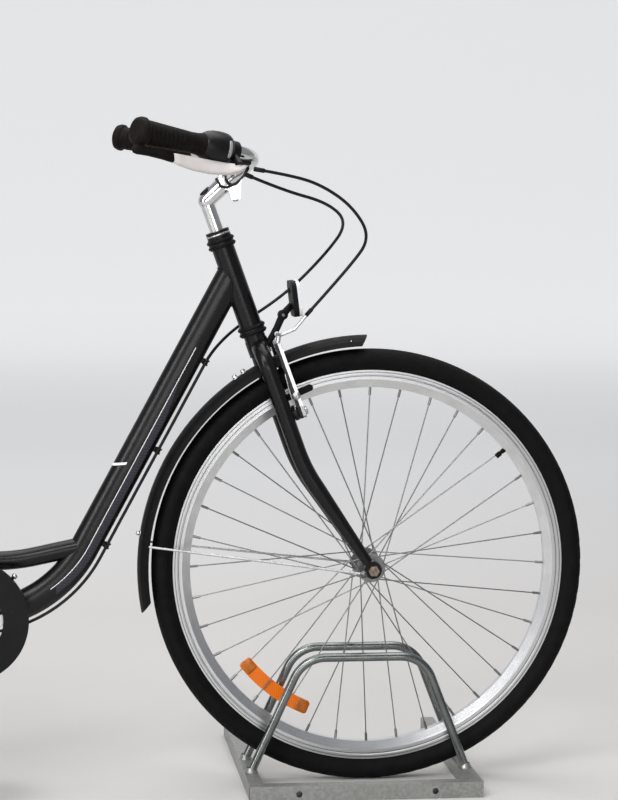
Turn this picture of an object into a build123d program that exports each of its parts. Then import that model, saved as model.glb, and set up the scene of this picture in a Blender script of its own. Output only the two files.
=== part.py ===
from build123d import *
import os
from math import acos, asin, cos, degrees, pi, radians, sin, sqrt, tan

os.makedirs("parts", exist_ok=True)

# A step-through city bicycle, front wheel held in a floor rack. Millimetres,
# +X to the front, +Y to the rider's left, +Z up, the floor at zero.

# Driving sizes
wheelbase = 1100
tyre_radius = 350
tyre_width = 40
tyre_tall = 34
rim_deep = 28
rim_width = 24
track_tall = 15
spoke_count = 36
head_angle = 70
head_length = 130
fork_rake = 49
fender_room = 6
fender_rise = 16
fender_width = 56
fender_sheet = 1.6
bar_radius = 11.1
crank_length = 170
chain_line = -50
chain_pitch = 12.7
chain_links = 102
ring_teeth = 38
cog_teeth = 19
bb_drop = 73
stem_rise = 50
front_old = 100
rear_old = 130
running = 0.1

# Wheel sizes that follow: rim under the tyre, fender over it
rim_radius = tyre_radius - tyre_tall
rim_inner = rim_radius - rim_deep
track_low = rim_radius - track_tall
fender_lip = tyre_radius + fender_room
fender_crown = fender_lip + fender_rise

# Drive: pitch circles from the teeth, the distance between centres from the links
ring_pitch = chain_pitch / (2 * sin(pi / ring_teeth))
cog_pitch = chain_pitch / (2 * sin(pi / cog_teeth))
free_links = chain_links - (ring_teeth + cog_teeth) / 2
wrap = ((ring_teeth - cog_teeth) / (2 * pi)) ** 2
drive_centres = chain_pitch / 4 * (free_links + sqrt(free_links ** 2 - 8 * wrap))
chain_stay = sqrt(drive_centres ** 2 - bb_drop ** 2)

# Origin: under the middle of the whole length, from the front tyre to the rear fender
front_axle_x = (wheelbase + fender_crown - tyre_radius) / 2
rear_x = -wheelbase
axle_z = tyre_radius
bb_x = rear_x + chain_stay
bb_z = axle_z - bb_drop

# Steering axis
up_axis = Vector(-cos(radians(head_angle)), 0, sin(radians(head_angle)))
ahead_dir = Vector(sin(radians(head_angle)), 0, cos(radians(head_angle)))
front_axle = Vector(front_axle_x, 0, axle_z)
rear_axle_at = Vector(front_axle_x + rear_x, 0, axle_z)
foot = front_axle - ahead_dir * fork_rake
cross = Vector(0, 1, 0)

# Stations up the steering axis
crown_gap = 11
cup_tall = 16
crown_low = sqrt((fender_crown + crown_gap) ** 2 - fork_rake ** 2)
crown_top = crown_low + 25
race_top = crown_top + 8.5
lower_cup = race_top + 0.5
head_low = lower_cup + cup_tall
head_top = head_low + head_length
upper_cup = head_top + cup_tall
nut_low = upper_cup + 0.5
nut_top = nut_low + 11.5
quill_low = nut_top - 88
stem_kink = nut_top + stem_rise


def spot(x, y, z):
    """A point given from the front axle, the middle plane and the floor."""
    return Vector(front_axle_x + x, y, z)


def steer(s, ahead=0, y=0):
    """A point up the steering axis, so far ahead of it and to the side."""
    return foot + up_axis * s + ahead_dir * ahead + cross * y


def rod(start, end, radius, end_radius=None):
    """A straight round bar, tapered when a second radius is given."""
    run = end - start
    low = (Align.CENTER, Align.CENTER, Align.MIN)
    with BuildPart(Plane(origin=start, z_dir=run)) as piece:
        if end_radius is None:
            Cylinder(radius, run.length, align=low)
        else:
            Cone(radius, end_radius, run.length, align=low)
    return piece.part


def sleeve(start, end, outer, bore):
    """A straight round bar with a hole from end to end."""
    reach = (end - start).normalized()
    with BuildPart() as piece:
        add(rod(start, end, outer))
        add(rod(start - reach, end + reach, bore), mode=Mode.SUBTRACT)
    return piece.part


def bar(points, radius, bends):
    """A round bar through the points with its corners bent to a radius."""
    with BuildPart() as piece:
        with BuildLine() as path:
            FilletPolyline(*points, radius=bends)
        with BuildSketch(Plane(origin=path.line @ 0, z_dir=path.line % 0)):
            Circle(radius)
        sweep(path=path.line)
    return piece.part


def easy_bends(points):
    """For each inner point, the largest bend that its two runs have room for."""
    radii = []
    for before, here, after in zip(points, points[1:], points[2:]):
        run_in = here - before
        run_out = after - here
        turn = radians(run_in.get_angle(run_out))
        radii.append(0.45 * min(run_in.length, run_out.length) / tan(turn / 2))
    return radii


def side_plane(y):
    """The side view as a drawing plane, its face turned to the right."""
    return Plane(origin=(front_axle_x, y, 0), x_dir=(1, 0, 0), z_dir=(0, -1, 0))


def side_plate(outline, y_low, y_high):
    """A flat plate whose outline is given in the side view."""
    with BuildPart() as piece:
        with BuildSketch(side_plane(y_high)):
            with BuildLine():
                Polyline(*outline, close=True)
            make_face()
        extrude(amount=y_high - y_low)
    return piece.part


def cross_rod(x, z, y_low, y_high, radius):
    """A round bar along the width of the bicycle."""
    return rod(spot(x, y_low, z), spot(x, y_high, z), radius)


def cross_sleeve(x, z, y_low, y_high, outer, bore):
    """A round bar with a hole, along the width of the bicycle."""
    return sleeve(spot(x, y_low, z), spot(x, y_high, z), outer, bore)


def block(x, y, z, along, wide, tall):
    """A plain block about a centre."""
    with BuildPart() as piece:
        with Locations(spot(x, y, z)):
            Box(along, wide, tall)
    return piece.part


def turned(hub_at, outline, arc=360, start=90):
    """A ring about an axle from a section of (sideways, radius) points."""
    out = Vector(cos(radians(start)), 0, sin(radians(start)))
    face = Plane(origin=hub_at, x_dir=cross, z_dir=cross.cross(out))
    with BuildPart() as piece:
        with BuildSketch(face):
            with BuildLine():
                Polyline(*outline, close=True)
            make_face()
        revolve(axis=Axis(hub_at, (0, -1, 0)), revolution_arc=arc)
    return piece.part


def save(piece, name):
    """Keep one named sub-part."""
    piece.part.label = name
    export_step(piece.part, f"parts/{name}.step")


# Wheels: tyre, rim, hub with spokes
def tyre_ring(hub_at):
    """A closed tyre seated on the rim's outer wall: bead, wall, crown."""
    half = tyre_width / 2
    section = []
    # share of the half width, share of the height
    for aside, up in ((-0.56, 0), (-1, 0.47), (-0.5, 1), (0.5, 1), (1, 0.47), (0.56, 0)):
        section.append((half * aside, rim_radius + tyre_tall * up))
    return turned(hub_at, section)


def rim_ring(hub_at):
    """A double-walled rim with upright brake tracks."""
    half = rim_width / 2
    bed = half / 2
    groove = track_low + track_tall / 2
    section = []
    for side in (-1, 1):
        wall = [(side * half, rim_radius), (side * half, groove + 0.8), (side * (half - 0.8), groove),
                (side * half, groove - 0.8), (side * half, track_low), (side * (half - 1), track_low - 2),
                (side * bed, rim_inner)]
        section += wall if side < 0 else wall[::-1]
    return turned(hub_at, section)


def spokes(hub_at, flange, hole_radius):
    """Crossed spokes with nipples, both flanges, as loose bars."""
    per_side = spoke_count // 2
    pitch = 360 / per_side
    lean = 3 * pitch
    spread = 2.6
    bars = []
    for side in (-1, 1):
        first = 0 if side > 0 else pitch / 2
        for number in range(per_side):
            turn = 1 if number % 2 == 0 else -1
            hub_turn = radians(first + number * pitch)
            rim_turn = hub_turn + turn * radians(lean)
            hub_dir = Vector(cos(hub_turn), 0, sin(hub_turn))
            rim_dir = Vector(cos(rim_turn), 0, sin(rim_turn))
            hub_end = hub_at + hub_dir * hole_radius + cross * (side * flange + turn * spread)
            rim_end = hub_at + rim_dir * (rim_inner + 2) + cross * side * 2
            run = (rim_end - hub_end).normalized()
            bars.append(rod(hub_end, rim_end, 1))
            bars.append(rod(rim_end - run * 15, rim_end, 2.1))
            head = hub_at + hub_dir * hole_radius + cross * side * flange
            bars.append(rod(head - cross * 3.4, head + cross * 3.4, 1.3))
    return bars


def rim_bed(hub_at):
    """All that lies outside the rim's inner wall."""
    with BuildPart() as piece:
        add(sleeve(hub_at - cross * 30, hub_at + cross * 30, rim_radius, rim_inner))
    return piece.part


with BuildPart() as front_tyre:
    add(tyre_ring(front_axle))
save(front_tyre, "front_tyre")

with BuildPart() as rear_tyre:
    add(tyre_ring(rear_axle_at))
save(rear_tyre, "rear_tyre")

with BuildPart() as front_rim:
    add(rim_ring(front_axle))
save(front_rim, "front_rim")

with BuildPart() as rear_rim:
    add(rim_ring(rear_axle_at))
save(rear_rim, "rear_rim")

front_hub_section = [(-45, 5), (-45, 9), (-37, 10), (-34, 13), (-34, 23), (-31, 23), (-31, 14),
                     (31, 14), (31, 23), (34, 23), (34, 13), (37, 10), (45, 9), (45, 5)]
with BuildPart() as front_hub:
    add(turned(front_axle, front_hub_section))
    add(spokes(front_axle, 32.5, 19.5))
    add(rim_bed(front_axle), mode=Mode.SUBTRACT)
save(front_hub, "front_hub_spokes")

rear_hub_section = [(-46, 5), (-46, 22), (-34, 22), (-34, 41), (-31, 41), (-31, 30),
                    (31, 30), (31, 41), (34, 41), (34, 26), (57, 22), (57, 5)]
with BuildPart() as rear_hub:
    add(turned(rear_axle_at, rear_hub_section))
    add(spokes(rear_axle_at, 32.5, 37.5))
    add(rim_bed(rear_axle_at), mode=Mode.SUBTRACT)
save(rear_hub, "rear_hub_spokes")

tooth_half = 1.5
tooth_reach = 3
tooth_root = 3.6


def toothed(x, z, pitch_radius, teeth):
    """A toothed plate on the chain line."""
    outline = []
    for tooth in range(teeth):
        # share of the pitch, reach from the pitch circle
        for share, reach in ((-0.3, -tooth_root), (-0.13, tooth_reach), (0.13, tooth_reach), (0.3, -tooth_root)):
            turn = 2 * pi * (tooth + share) / teeth
            radius = pitch_radius + reach
            outline.append((x + radius * cos(turn), z + radius * sin(turn)))
    return side_plate(outline, chain_line - tooth_half, chain_line + tooth_half)


with BuildPart() as sprocket:
    add(toothed(rear_x, axle_z, cog_pitch, cog_teeth))
    add(cross_rod(rear_x, axle_z, chain_line + tooth_half, -46, 26))
    add(cross_rod(rear_x, axle_z, chain_line - 2, -46, 5), mode=Mode.SUBTRACT)
save(sprocket, "sprocket")

reflector_out = rim_inner - 25
reflector_tall = 22
reflector_half = 3
with BuildPart() as spoke_reflector:
    lens_section = []
    for aside, radius in ((-1, reflector_out - reflector_tall), (-1, reflector_out),
                          (1, reflector_out), (1, reflector_out - reflector_tall)):
        lens_section.append((aside * reflector_half, radius))
    add(turned(front_axle, lens_section, 30, 217.6))
    fillet(spoke_reflector.edges().filter_by(Axis.Y), 5)
save(spoke_reflector, "spoke_reflector")

# Front axle
with BuildPart() as front_axle_bar:
    add(cross_rod(0, axle_z, -68, 68, 5 - running))
    for side in (-1, 1):
        ends = sorted((side * 45.4, side * front_old / 2))
        add(cross_rod(0, axle_z, ends[0], ends[1], 8))
        with BuildSketch(side_plane(side * 61 + 5)):
            with Locations((0, axle_z)):
                RegularPolygon(8.6, 6)
        extrude(amount=10)
save(front_axle_bar, "front_axle")

# Fork: steerer with crown, two bent blades with dropouts and brake bosses
with BuildPart() as fork_crown:
    add(rod(steer(crown_low - 25), steer(crown_low), 6))
    add(cross_rod(0, axle_z, -40, 40, fender_crown), mode=Mode.SUBTRACT)
    add(rod(steer(crown_low), steer(crown_top), 18))
    add(rod(steer(crown_top), steer(race_top), 17))
    add(rod(steer(race_top), steer(nut_top - 1), 12.7))
    add(rod(steer(quill_low - 10), steer(stem_kink), bar_radius + 0.05), mode=Mode.SUBTRACT)
save(fork_crown, "fork_crown")

blade_top = 45
blade_low = 53
shoulder = crown_low + 12
bend_s = crown_low / 2
bend_point = steer(bend_s)
blade_fall = (front_axle - bend_point).normalized()
pad_up = 28
pad_ahead = 26
track_mid = track_low + track_tall * 0.3
boss_s = sqrt(track_mid ** 2 - (fork_rake - pad_ahead) ** 2) - pad_up


def fork_blade(side):
    """One blade: shoulder, straight, forward bend, taper, dropout and boss."""
    knee = bend_point + cross * side * (blade_top + 3)
    tip = front_axle - blade_fall * 14 + cross * side * blade_low
    fall = (tip - knee).normalized()
    taper_at = knee + fall * 36
    with BuildPart() as piece:
        add(bar([steer(shoulder, 0, side * 6), steer(shoulder, 0, side * blade_top), knee, taper_at],
                13, [34, 250]))
        add(rod(taper_at, tip, 13, 8.5))
        inner = side * front_old / 2
        outer = side * (front_old / 2 + 6)
        low, high = sorted((inner, outer))
        add(cross_rod(0, axle_z, low, high, 14))
        add(cross_rod(-16, axle_z - 5, low, high, 6))
        add(rod(steer(boss_s, 0, side * blade_top), steer(boss_s, 17, side * 43), 8))
        add(rod(steer(boss_s, 17, side * 43), steer(boss_s, 33, side * 43), 4.5))
        add(cross_rod(0, axle_z, low - 20, high + 20, 5), mode=Mode.SUBTRACT)
        add(cross_rod(0, axle_z, *sorted((side * 30, inner)), 16), mode=Mode.SUBTRACT)
        add(cross_rod(0, axle_z, *sorted((side * 80, outer)), 16), mode=Mode.SUBTRACT)
        add(cross_rod(-16, axle_z - 5, low - 20, high + 20, 2.6), mode=Mode.SUBTRACT)
        add(rod(steer(crown_low - 20), steer(crown_top + 20), 18), mode=Mode.SUBTRACT)
    return piece.part


with BuildPart() as fork_blades:
    add(fork_blade(-1))
    add(fork_blade(1))
save(fork_blades, "fork_blades")

# Headset, head tube
with BuildPart() as headset_top:
    add(sleeve(steer(nut_low), steer(nut_top), 19, 12.75))
save(headset_top, "headset_locknut")

with BuildPart() as headset_cups:
    add(sleeve(steer(lower_cup), steer(head_low), 20.5, 13.2))
    add(sleeve(steer(head_top), steer(upper_cup), 20.5, 13.2))
save(headset_cups, "headset_cups")

with BuildPart() as head_tube:
    add(sleeve(steer(head_low), steer(head_top), 18, 15.5))
save(head_tube, "head_tube")

# Stem and handlebar
clamp_ahead = 36
clamp_up = 35
kink_at = steer(stem_kink)
clamp_at = kink_at + Vector(clamp_ahead, 0, clamp_up)
stem_reach = (clamp_at - kink_at).normalized()
with BuildPart() as stem:
    add(rod(steer(quill_low), kink_at, bar_radius))
    with Locations(kink_at):
        Sphere(13)
    add(rod(kink_at, clamp_at, 13, 14.5))
    add(rod(clamp_at - cross * 21, clamp_at + cross * 21, 18))
    with BuildSketch(Plane(origin=clamp_at - cross * 13, x_dir=(1, 0, 0), z_dir=cross)):
        with BuildLine():
            Polyline((0, 8), (17, 8), (17, 31), (3, 33), (0, 22), close=True)
        make_face()
    extrude(amount=26)
    add(rod(clamp_at - cross * 22, clamp_at + cross * 22, bar_radius + 1.65), mode=Mode.SUBTRACT)
save(stem, "stem")

# Swept-back bar: points ahead of the clamp, to the side and above it
bar_middle = (0, 35, 0)
bar_knee = (23, 185, 34)
bar_tip = (-160, 290, 68)


def on_side(at, side):
    """A point of the bar on one side."""
    return clamp_at + Vector(at[0], side * at[1], at[2])


with BuildPart() as handlebar:
    bar_line = [on_side(bar_tip, -1), on_side(bar_knee, -1), on_side(bar_middle, -1),
                on_side(bar_middle, 1), on_side(bar_knee, 1), on_side(bar_tip, 1)]
    add(bar(bar_line, bar_radius, [50, 40, 40, 50]))
    add(rod(clamp_at - cross * 25, clamp_at + cross * 25, bar_radius + 1.6))
save(handlebar, "handlebar")


def grip_axis(side):
    """The bar's end and the way back along it, on one side."""
    tip = on_side(bar_tip, side)
    return tip, (on_side(bar_knee, side) - tip).normalized()


def on_bar(side, profile):
    """A piece turned about the bar's end from (along, radius) points."""
    tip, inward = grip_axis(side)
    face = Plane(origin=tip, x_dir=inward, z_dir=inward.cross(Vector(0, 0, 1)))
    with BuildPart() as piece:
        with BuildSketch(face):
            with BuildLine():
                Polyline(*profile, close=True)
            make_face()
        revolve(axis=Axis(tip, inward))
    return piece.part


bore = bar_radius + 0.05


def grip_outline(length, ribs, lip):
    """A grip's profile: flanged end, ribbed waist and, if asked, an inner lip."""
    outline = [(-5, 0), (-5, 15), (-2, 20), (3, 22), (8, 22), (12, 19)]
    waist = length - 30 - lip
    for rib in range(ribs):
        along = 16 + waist * rib / ribs
        radius = 18.9 - 2.8 * rib / ribs
        outline += [(along, radius - 0.9), (along + 1.2, radius), (along + waist / ribs - 1.5, radius - 0.1)]
    if lip:
        outline += [(length - lip - 2, 15.5), (length - lip + 1, 18), (length, 18)]
    else:
        outline += [(length, 15.5)]
    return outline + [(length, bore), (0, bore), (0, 0)]


grip_profile = grip_outline(92, 8, 0)
left_profile = grip_outline(138, 11, 8)
twist_profile = [(92.5, bore), (92.5, 15.5), (104, 16), (118, 18.5), (138, 18.5), (138, bore)]
housing_profile = [(138.5, bore), (138.5, 20), (141, 21), (156, 21), (158, 19), (158, bore)]

with BuildPart() as grip_right:
    add(on_bar(-1, grip_profile))
save(grip_right, "grip_right")

with BuildPart() as grip_left:
    add(on_bar(1, left_profile))
save(grip_left, "grip_left")

with BuildPart() as twist_grip:
    add(on_bar(-1, twist_profile))
save(twist_grip, "twist_grip")

right_tip, right_in = grip_axis(-1)
right_down = (Vector(0, 0, -1) + right_in * right_in.Z).normalized()
right_out = right_in.cross(right_down)


def by_grip(along, down, out=0):
    """A point beside the right end of the bar."""
    return right_tip + right_in * along + right_down * down + right_out * out


with BuildPart() as shifter:
    add(on_bar(-1, housing_profile))
    add(rod(by_grip(150, 17, 4), by_grip(186, 27, 8), 4.2))
    add(rod(right_tip + right_in * 130, right_tip + right_in * 185, bore), mode=Mode.SUBTRACT)
save(shifter, "shifter_housing")

lever_lean = radians(50)


def by_lever(along, reach, aside=0):
    """A point so far out from the bar on the lever's side of it."""
    down = reach * cos(lever_lean) + aside * sin(lever_lean)
    out = -reach * sin(lever_lean) + aside * cos(lever_lean)
    return by_grip(along, down, out)


with BuildPart() as lever_mount:
    add(sleeve(by_grip(160, 0), by_grip(175, 0), 16, bore))
    add(rod(by_lever(167.5, 13), by_lever(167.5, 33.2), 6.5))
    add(rod(by_lever(167.5, 24), by_lever(192, 20), 4.5))
    add(rod(by_grip(150, 0), by_grip(190, 0), bore), mode=Mode.SUBTRACT)
save(lever_mount, "brake_lever_mount")

blade_half = 4.5
lever_reach = by_lever(0, 1) - by_lever(0, 0)
with BuildPart() as lever_blade:
    with BuildSketch(Plane(origin=by_lever(0, 0), x_dir=right_in, z_dir=right_in.cross(lever_reach))):
        with BuildLine():
            # along the bar from its end, out from the bar
            Polyline((174, 33.2), (174, 40), (168, 44), (140, 42.5), (90, 39), (9, 37.5), (3, 40.5),
                     (-4, 40), (-8, 35), (-5, 29.5), (2, 28.5), (9, 30), (90, 31.5), (140, 33.2), close=True)
        make_face()
    extrude(amount=blade_half, both=True)
    chamfer(lever_blade.faces().sort_by(Axis.Z)[0].edges().sort_by(Edge.length)[-2:], 1.5)
save(lever_blade, "brake_lever_blade")

# Front brake
arm_up = 115
pad_at = steer(boss_s + pad_up, pad_ahead)
pad_out = (Vector(pad_at.X, 0, pad_at.Z) - front_axle).normalized()
pad_along = pad_out.cross(cross)


def brake_arm(side):
    """An upright arm on its boss, leaning in toward the top."""
    face = Plane(origin=steer(boss_s, 27), x_dir=cross * side, z_dir=ahead_dir * side)
    outline = [(34, -6), (37, -9.5), (48, -9.5), (51.5, -6), (52, 10), (50, 40), (43.5, arm_up - 12),
               (42, arm_up - 2), (40, arm_up), (35, arm_up), (33, arm_up - 2), (35, arm_up - 30), (37, 50),
               (36, 10)]
    with BuildPart() as piece:
        with BuildSketch(face):
            with BuildLine():
                Polyline(*outline, close=True)
            make_face()
        extrude(amount=5, both=True)
        with BuildSketch(face.offset(side * 3.5)):
            with Locations((41.5, 74)):
                SlotOverall(44, 5, rotation=96)
        extrude(amount=side * 3, mode=Mode.SUBTRACT)
        add(rod(steer(boss_s, 17, side * 43), steer(boss_s, 36, side * 43), 4.55), mode=Mode.SUBTRACT)
    return piece.part


with BuildPart() as brake_arms:
    add(brake_arm(-1))
    add(brake_arm(1))
save(brake_arms, "brake_arms")

with BuildPart() as brake_pads:
    for side in (-1, 1):
        with BuildSketch(Plane(origin=pad_at + pad_out * -1.5 + cross * side * 14, x_dir=pad_along,
                               z_dir=cross * side)):
            SlotOverall(66, 10)
        extrude(amount=9)
        add(rod(pad_at + cross * side * 22, pad_at + cross * side * 40, 4))
    add(brake_arms.part, mode=Mode.SUBTRACT)
save(brake_pads, "brake_pads")

arm_top = steer(boss_s + arm_up - 6, 28)
cross_up = Vector(0, 0, 18)
with BuildPart() as noodle:
    noodle_end = steer(boss_s + 142, 85, -46)
    noodle_bend = steer(boss_s + 127, 60, -46)
    add(bar([noodle_end, noodle_bend, arm_top + cross_up - cross * 46, arm_top + cross_up + cross * 2],
            2.6, [12, 9]))
    add(rod(arm_top + cross_up - cross * 12, arm_top + cross_up + cross * 20, 4.2))
    add(rod(arm_top + cross_up, arm_top + cross_up + cross * 41, 1))
    for side in (-1, 1):
        post = arm_top + cross * side * 37.5
        add(rod(post + up_axis * 6, post + cross_up, 3.6))
    add(brake_arms.part, mode=Mode.SUBTRACT)
save(noodle, "brake_noodle")

# Front fender with its stays
def fender_section():
    """A rolled section as (sideways, radius) points, outside then inside."""
    half = fender_width / 2
    rise = fender_crown - fender_lip
    round_radius = (half ** 2 + rise ** 2) / (2 * rise)
    sweep_half = degrees(asin(half / round_radius))
    outer = []
    inner = []
    for step in range(9):
        turn = radians(sweep_half * (step - 4) / 4)
        base = fender_crown - round_radius
        outer.append((round_radius * sin(turn), base + round_radius * cos(turn)))
        thin = round_radius - fender_sheet
        inner.append((thin * sin(turn), base + thin * cos(turn)))
    return outer + inner[::-1]


def fender_at(turn, radius):
    """A point of the fender's side view, from the axle, as (ahead, up)."""
    return radius * cos(radians(turn)), radius * sin(radians(turn))


def fender_cut(hub_at, tip, lip, past):
    """What is cut away so that an end slants from its tip to its lips."""
    per_mm = (tip - lip) / fender_rise
    low = lip - 10 * per_mm
    high = tip + 4 * per_mm
    corners = [fender_at(low, fender_lip - 10), fender_at(high, fender_crown + 4),
               fender_at(past, fender_crown + 4), fender_at(past, fender_lip - 10)]
    ahead = hub_at.X - front_axle_x
    outline = [(ahead + x, axle_z + z) for x, z in corners]
    return side_plate(outline, -fender_width, fender_width)


def fender(hub_at, first, last, slants):
    """A rolled fender between two angles, its ends slanted from tip to lips."""
    with BuildPart() as piece:
        add(turned(hub_at, fender_section(), last - first, first))
        for tip, lip, past in ((first, first + slants[0], first - 4), (last, last - slants[1], last + 4)):
            add(fender_cut(hub_at, tip, lip, past), mode=Mode.SUBTRACT)
    return piece.part


with BuildPart() as front_fender:
    add(fender(front_axle, 91, 191.3, (1.8, 2.8)))
save(front_fender, "front_fender")


def stay_end(hub_at, turn, side):
    """Where a stay meets the fender's edge."""
    out = Vector(cos(radians(turn)), 0, sin(radians(turn)))
    return hub_at + out * (fender_lip + 1) + cross * side * (fender_width / 2 + 1)


with BuildPart() as front_stays:
    for side in (-1, 1):
        low, high = sorted((side * (front_old / 2 + 6), side * (front_old / 2 + 12)))
        add(cross_rod(-16, axle_z - 5, low, high, 5))
        add(rod(spot(-16, side * (front_old / 2 + 9.5), axle_z - 5), stay_end(front_axle, 174, side), 2))
    add(front_fender.part, mode=Mode.SUBTRACT)
save(front_stays, "front_fender_stays")

# Front reflector on its bracket
mirror_at = steer(crown_low + 65.5, 82.4)
mirror_face = Plane(origin=mirror_at, x_dir=cross, z_dir=ahead_dir)
with BuildPart() as reflector_lens:
    with BuildSketch(mirror_face):
        RectangleRounded(66, 57, 14)
    extrude(amount=5)
save(reflector_lens, "front_reflector_lens")

with BuildPart() as reflector_back:
    with BuildSketch(mirror_face):
        RectangleRounded(66, 57, 14)
    extrude(amount=-8)
save(reflector_back, "front_reflector_back")

# Folded strip: up the steering axis from the crown's foot, ahead of the axis
strip_under = [(9.5, 15), (9.5, 42), (46, 62), (66, 76)]
strip_over = [(68.5, 73.5), (48.5, 59.5), (12.5, 40), (12.5, 15)]
strip_wide = 16
with BuildPart() as reflector_bracket:
    with BuildSketch(Plane(origin=foot + cross * strip_wide / 2, x_dir=ahead_dir, z_dir=cross * -1)):
        with BuildLine():
            Polyline(*[(ahead, crown_low + up) for up, ahead in strip_under + strip_over], close=True)
        make_face()
    extrude(amount=strip_wide)
    add(rod(steer(crown_low), steer(crown_top), 18), mode=Mode.SUBTRACT)
    add(reflector_back.part, mode=Mode.SUBTRACT)
save(reflector_bracket, "front_reflector_bracket")

# Cables
cable_radius = 2.5
# share of the way from end to end, then how far ahead, left and up of that straight line
brake_loop = ((0.1, 47, 6, 14), (0.25, 82, 9, 34), (0.45, 115, 13, 47), (0.65, 129, 12, 45), (0.8, 89, 13, 35))
gear_loop_bow = ((0.12, 65, 17, 12), (0.28, 149, 37, 40), (0.42, 193, 60, 49), (0.58, 175, 100, 46),
                 (0.74, 121, 91, 28), (0.88, 46, 61, 16), (0.96, 10, 16, 6))


def cable(start, end, bow):
    """A cable housing that bows out between two ends."""
    line = [start]
    for share, ahead, left, up in bow:
        line.append(start + (end - start) * share + Vector(ahead, left, up))
    line.append(end)
    return bar(line, cable_radius, easy_bends(line))


brake_cable_start = clamp_at + Vector(21, -190, 15)
with BuildPart() as front_cable:
    add(cable(brake_cable_start, noodle_end, brake_loop))
    add(lever_mount.part, mode=Mode.SUBTRACT)
    add(noodle.part, mode=Mode.SUBTRACT)
save(front_cable, "front_brake_cable")

# Frame tubes
bb_at = spot(bb_x, 0, bb_z)
down_top = steer(head_top - 43.5)
down_turn = bb_at + Vector(185.6, 0, 107)
down_fall = (down_turn - down_top).normalized()
down_corner_run = (down_turn.Z - bb_z) / -down_fall.Z
down_corner = down_turn + down_fall * down_corner_run
down_end = bb_at + Vector(8, 0, 0)
down_half_turn = acos(-down_fall.X) / 2
down_bend = 0.98 * (down_corner.X - down_end.X) / tan(down_half_turn)
tube_tall = 23.5
tube_wide = 17
bb_radius = 22
bb_half = 34
seat_angle = 72
seat_up = Vector(-cos(radians(seat_angle)), 0, sin(radians(seat_angle)))
seat_tube_length = 440
post_length = 168
seat_radius = 17
post_bore = 13.7


def swept_tube(points, tall, wide, bend):
    """An oval tube along straight runs and one bend in the middle plane."""
    with BuildPart() as piece:
        with BuildLine() as path:
            FilletPolyline(*points, radius=bend)
        with BuildSketch(Plane(origin=path.line @ 0, x_dir=cross, z_dir=path.line % 0)):
            Ellipse(wide, tall)
        sweep(path=path.line)
    return piece.part


down_path = [down_top, down_corner, down_end]
with BuildPart() as down_tube:
    add(swept_tube(down_path, tube_tall, tube_wide, down_bend))
    add(rod(steer(crown_low), steer(stem_kink), 18), mode=Mode.SUBTRACT)
    add(cross_rod(bb_x, bb_z, -60, 60, bb_radius), mode=Mode.SUBTRACT)
save(down_tube, "down_tube")

with BuildPart() as bb_shell:
    add(cross_sleeve(bb_x, bb_z, -bb_half, bb_half, bb_radius, 9))
save(bb_shell, "bottom_bracket_shell")

seat_top = bb_at + seat_up * seat_tube_length
with BuildPart() as seat_tube:
    add(rod(bb_at, seat_top, seat_radius))
    add(rod(seat_top - seat_up * 240, seat_top + seat_up * 5, post_bore), mode=Mode.SUBTRACT)
    add(cross_rod(bb_x, bb_z, -60, 60, bb_radius), mode=Mode.SUBTRACT)
    add(down_tube.part, mode=Mode.SUBTRACT)
save(seat_tube, "seat_tube")

with BuildPart() as brace_tube:
    # ahead of the bottom bracket and above it
    brace_line = [bb_at + Vector(ahead, 0, up) for ahead, up in ((185, 109), (80, 87), (-30, 85))]
    add(bar(brace_line, 15, 300))
    add(rod(bb_at, seat_top, seat_radius), mode=Mode.SUBTRACT)
    add(swept_tube(down_path, tube_tall, tube_wide, down_bend), mode=Mode.SUBTRACT)
save(brace_tube, "brace_tube")

drop_in = rear_old / 2
drop_out = drop_in + 6


def dropout(side):
    """A rear fork end: a plate with an axle slot and an eyelet."""
    low, high = sorted((side * drop_in, side * drop_out))
    outline = [(rear_x + 46, axle_z - 22), (rear_x + 46, axle_z - 2), (rear_x + 36, axle_z + 36),
               (rear_x + 18, axle_z + 44), (rear_x - 12, axle_z + 26), (rear_x - 24, axle_z + 4),
               (rear_x - 18, axle_z - 14)]
    with BuildPart() as piece:
        add(side_plate(outline, low, high))
        add(cross_rod(rear_x, axle_z, low - 1, high + 1, 5), mode=Mode.SUBTRACT)
        add(cross_rod(rear_x - 12, axle_z + 14, low - 1, high + 1, 2.6), mode=Mode.SUBTRACT)
    return piece.part


with BuildPart() as dropouts:
    add(dropout(-1))
    add(dropout(1))
save(dropouts, "rear_dropouts")

with BuildPart() as chain_stays:
    for side in (-1, 1):
        stay_line = [spot(bb_x - 8, side * 26, bb_z + 1), spot(bb_x - 80, side * 33, bb_z + 13),
                     spot(rear_x + 34, side * 68, axle_z - 8)]
        add(bar(stay_line, 7.5, 160))
    add(bb_shell.part, mode=Mode.SUBTRACT)
    add(cross_rod(bb_x, bb_z, -60, 60, bb_radius), mode=Mode.SUBTRACT)
    add(dropouts.part, mode=Mode.SUBTRACT)
    add(seat_tube.part, mode=Mode.SUBTRACT)
save(chain_stays, "chain_stays")

seat_stay_top = seat_top - seat_up * 40
stay_foot = spot(rear_x + 18, 0, axle_z + 28)
stay_knee = seat_stay_top + (stay_foot - seat_stay_top) * 0.16
knee_out = 47
foot_out = 68


def crossing(start, end, centre, radius):
    """Where a line comes within a radius of an axle, as a share of its length."""
    run = end - start
    away = start - centre
    half = away.X * run.X + away.Z * run.Z
    square = run.X ** 2 + run.Z ** 2
    return (-half - sqrt(half ** 2 - square * (away.X ** 2 + away.Z ** 2 - radius ** 2))) / square


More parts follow.
